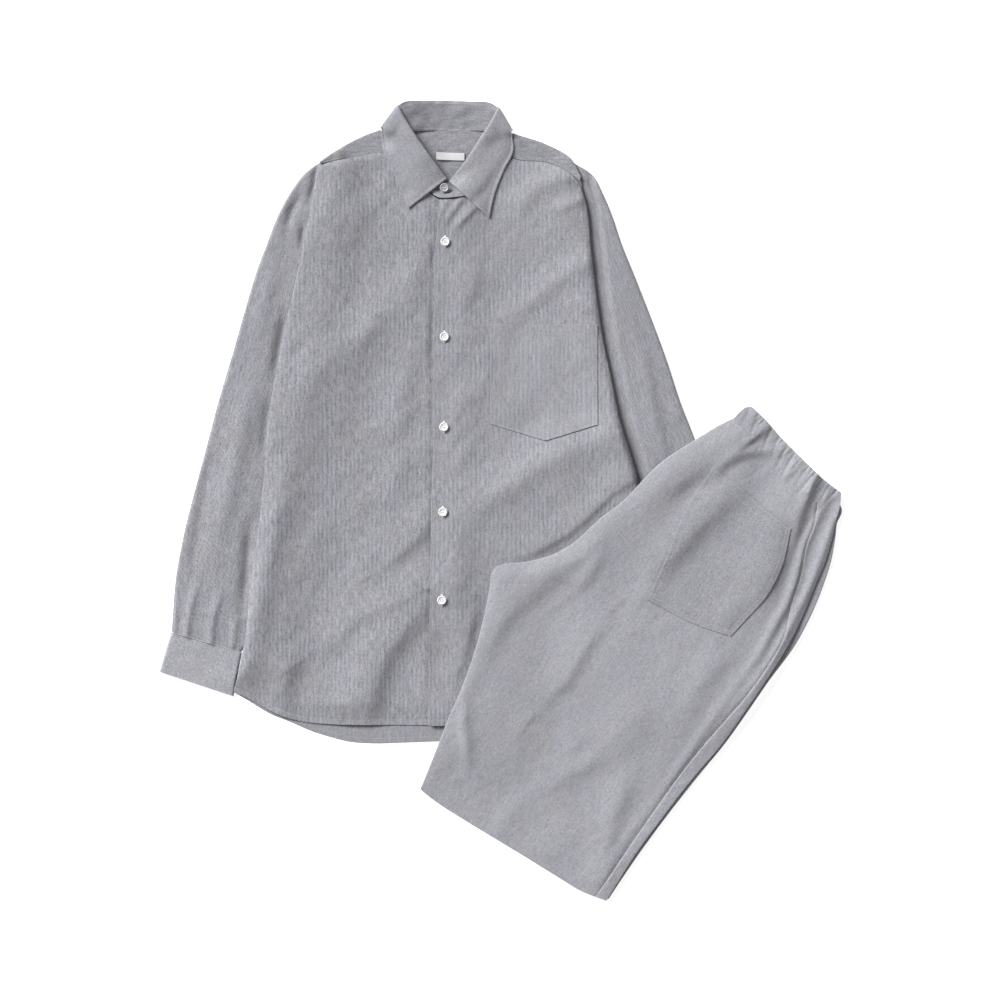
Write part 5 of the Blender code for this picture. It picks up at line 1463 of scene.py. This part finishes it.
def make_waistband(finish, ground):
    """Waistband: a gathered strip that rolls down at its edge and overlaps the legs by half a
    millimetre. Gives the lines of its stitches."""
    rise_end = ((305, 115.5), (298, 109.5), (290.5, 101.5))
    side_end = ((425, 9), (423, -10), (418.5, -25.5))
    seam = tuple((x - 0.5, y - 0.5) for x, y in WAIST_SEAM)
    xy = framed(WAIST_EDGE, seam, rise_end, side_end, spaced(0.165, 0.85 * MM), spaced(0.03, 1.5 * MM))
    edge = traced(WAIST_EDGE)
    lift = 0.9 * MM + 1.45 * MM * rolled(nearest(xy, edge)[0], 5 * MM) + 0.75 * gather_relief(xy)
    lift = lift + 0.7 * handling(xy, 50, 23) + fold_relief(xy, SHORTS_FOLDS)
    lift = lift + seam_relief(xy, edge, 3, 0.5, 0.5, 7, 1.0)
    top = sew("waistband_cloth", "shorts_waistband", finish["waistband"], xy, lift, PANEL_SETTLE,
              grain(xy, WAIST_TURN, 0.4), ground)
    return [inset_line(top, "bottom", 2 * MM, 2 * MM), inset_line(top, "top", 3 * MM, 2 * MM)]


def make_shorts_pocket(finish):
    """Patch pocket, fuller in its middle than at its sewn edges. Gives the lines of its stitches."""
    xy = framed(POCKET_TOP, POCKET_BOTTOM, POCKET_INNER, POCKET_OUTER,
                spaced(0.13, 2.0 * MM), spaced(0.165, 2.0 * MM))
    sewn = np.concatenate([traced(POCKET_INNER), traced(POCKET_BOTTOM), traced(POCKET_OUTER)[::-1]])
    lift = 0.07 * MM + 0.7 * MM * rolled(nearest(xy, sewn)[0], 22 * MM)
    lift = lift + seam_relief(xy, sewn, 6.5, 0.3, 0.3, 9, 2.0)
    top = sew("shorts_pocket_cloth", "shorts_pocket", finish["shorts pocket"], xy, lift - 0.3 * MM,
              PATCH_SETTLE, grain(xy, SHORTS_TURN, 0.23), None, 0.3 * MM)
    lines = [inset_line(top, side, inset, 1 * MM)
             for inset in (1.5 * MM, 6.5 * MM) for side in ("left", "right", "bottom")]
    return lines + [inset_line(top, "top", inset, 2 * MM) for inset in (14 * MM, 3 * MM)]


def make_shorts(finish):
    """Shorts: the hidden layers, then the upper leg and the waistband, sewn side by side on them, then
    the pocket. Gives the lines of their stitches."""
    layered_stack("shorts_under_layers", "shorts_layers", stack_places, 12, 22, SHORTS_STACK,
                  finish["under leg"])
    ground = heights.copy()
    return make_legs(finish, ground) + make_waistband(finish, ground) + make_shorts_pocket(finish)


def tinted(brightness):
    """Grey of the cotton, with its slight blue."""
    return (0.300 * brightness, 0.300 * brightness, 0.326 * brightness)


COTTONS = (
    # piece, brightness, streak, speckle, stripe, slanted weave
    ("right front", 1.01, 1.15, 1.5, 0.24, 0.0),
    ("left front", 1.02, 0.95, 1.3, 0.24, 0.0),
    ("back", 1.0, 0.6, 1.2, 0.1, 0.0),
    # The yoke's slightly lower brightness is painted shade for the hollow inside the neck.
    ("yoke", 0.97, 0.9, 1.5, 0.08, 0.0),
    ("right sleeve", 1.02, 1.0, 1.6, 0.08, 0.06),
    ("left sleeve", 0.98, 0.8, 1.15, 0.08, 0.05),
    ("cuff", 1.22, 0.4, 1.9, 0.0, 0.0),
    # The stand's lower brightness is painted shade for the dark hollow inside the neck under the collar's
    # roll.
    ("stand", 0.90, 0.8, 1.4, 0.0, 0.0),
    ("collar", 1.09, 0.4, 1.35, 0.0, 0.0),
    ("chest pocket", 1.04, 0.75, 1.05, 0.2, 0.0),
    ("shorts", 1.13, 0.5, 1.25, 0.03, 0.0),
    ("shorts front", 1.13, 0.5, 1.25, 0.03, 0.0),
    ("under leg", 1.13, 0.42, 1.1, 0.02, 0.0),
    ("waistband", 1.13, 0.5, 1.25, 0.03, 0.0),
    ("shorts pocket", 1.06, 0.5, 1.5, 0.03, 0.0),
)
finishes = {}
for number, (piece, brightness, streak, speckle, stripe, hatch) in enumerate(COTTONS):
    material_name = piece.replace(" ", "_") + "_cotton"
    finishes[piece] = cotton(material_name, tinted(brightness), streak, speckle, stripe, 4.0 * number, hatch)
finishes["label"] = plain("white_woven_tape", (0.72, 0.72, 0.73), 0.75, 1500, 0.08, sheen=0.1)
# The top button's darker copy of the pearl finish is painted shade from the collar leaves above it.
finishes["top button"] = plain("top_button_painted_shade", (0.40, 0.40, 0.42), 0.35, 260, 0.06, coat=0.3)
finishes["button"] = plain("pearly_button", (0.86, 0.86, 0.86), 0.28, 260, 0.05, coat=0.4)
finishes["white thread"] = plain("white_thread", (0.85, 0.85, 0.85), 0.7, 1800, 0.15, sheen=0.2)
finishes["pale thread"] = plain("pale_thread", (0.52, 0.52, 0.54), 0.8, 1800, 0.15, sheen=0.2)

# Where the shorts' hidden layers lie, and how far each place of the map is covered by them
stack_places = framed(STACK_WAIST, STACK_HEM, STACK_RISE, STACK_SIDE,
                      spaced(0.24, 5 * MM), spaced(0.62, 5 * MM))
covered = blurred((map_of(with_height(stack_places, 1.0)) > 0.5).astype(float), 6 * MM)
covered = np.clip(2 * covered - 1, 0.0, 1.0)
shirt_lines = make_shirt(finishes)
shirt_lines += make_cuffs(finishes)
shorts_lines = make_shorts(finishes)
stitching("shirt_stitching", shirt_lines, finishes["pale thread"])
stitching("shorts_stitching", shorts_lines, finishes["pale thread"])


def stage_and_light():
    """White floor, a soft key light from the upper left, an even fill and a camera straight above."""
    floor_mesh = bpy.data.meshes.new("floor")
    signs = ((-1, -1), (1, -1), (1, 1), (-1, 1))
    corners = [(x * FLOOR_REACH, y * FLOOR_REACH, FLOOR_HEIGHT) for x, y in signs]
    floor_mesh.from_pydata(corners, [], [(0, 1, 2, 3)])
    material = bpy.data.materials.new("white_floor")
    material.use_nodes = True
    looks = {"Base Color": (0.92, 0.92, 0.92, 1.0), "Roughness": 0.9, "Specular IOR Level": 0.0,
             "Emission Color": (1.0, 1.0, 1.0, 1.0), "Emission Strength": 0.68}
    for name, value in looks.items():
        material.node_tree.nodes["Principled BSDF"].inputs[name].default_value = value
    floor_mesh.materials.append(material)
    linked("floor", floor_mesh)

    scene = bpy.context.scene
    scene.world = bpy.data.worlds.new("studio")
    scene.world.use_nodes = True
    fill = scene.world.node_tree.nodes["Background"]
    fill.inputs["Color"].default_value = (1.0, 1.0, 1.0, 1.0)
    fill.inputs["Strength"].default_value = 0.30
    key = bpy.data.lights.new("key", "SUN")
    key.energy = 4.6
    key.angle = np.radians(28)
    linked("key", key).rotation_euler = np.radians(KEY_TURN)

    camera = bpy.data.cameras.new("camera")
    camera.sensor_width = SENSOR_WIDTH
    camera.lens = SENSOR_WIDTH * CAMERA_HEIGHT / VIEW_WIDTH
    scene.camera = linked("camera", camera)
    scene.camera.location = VIEW_MIDDLE + (CAMERA_HEIGHT,)
    scene.view_settings.view_transform = "Standard"


stage_and_light()
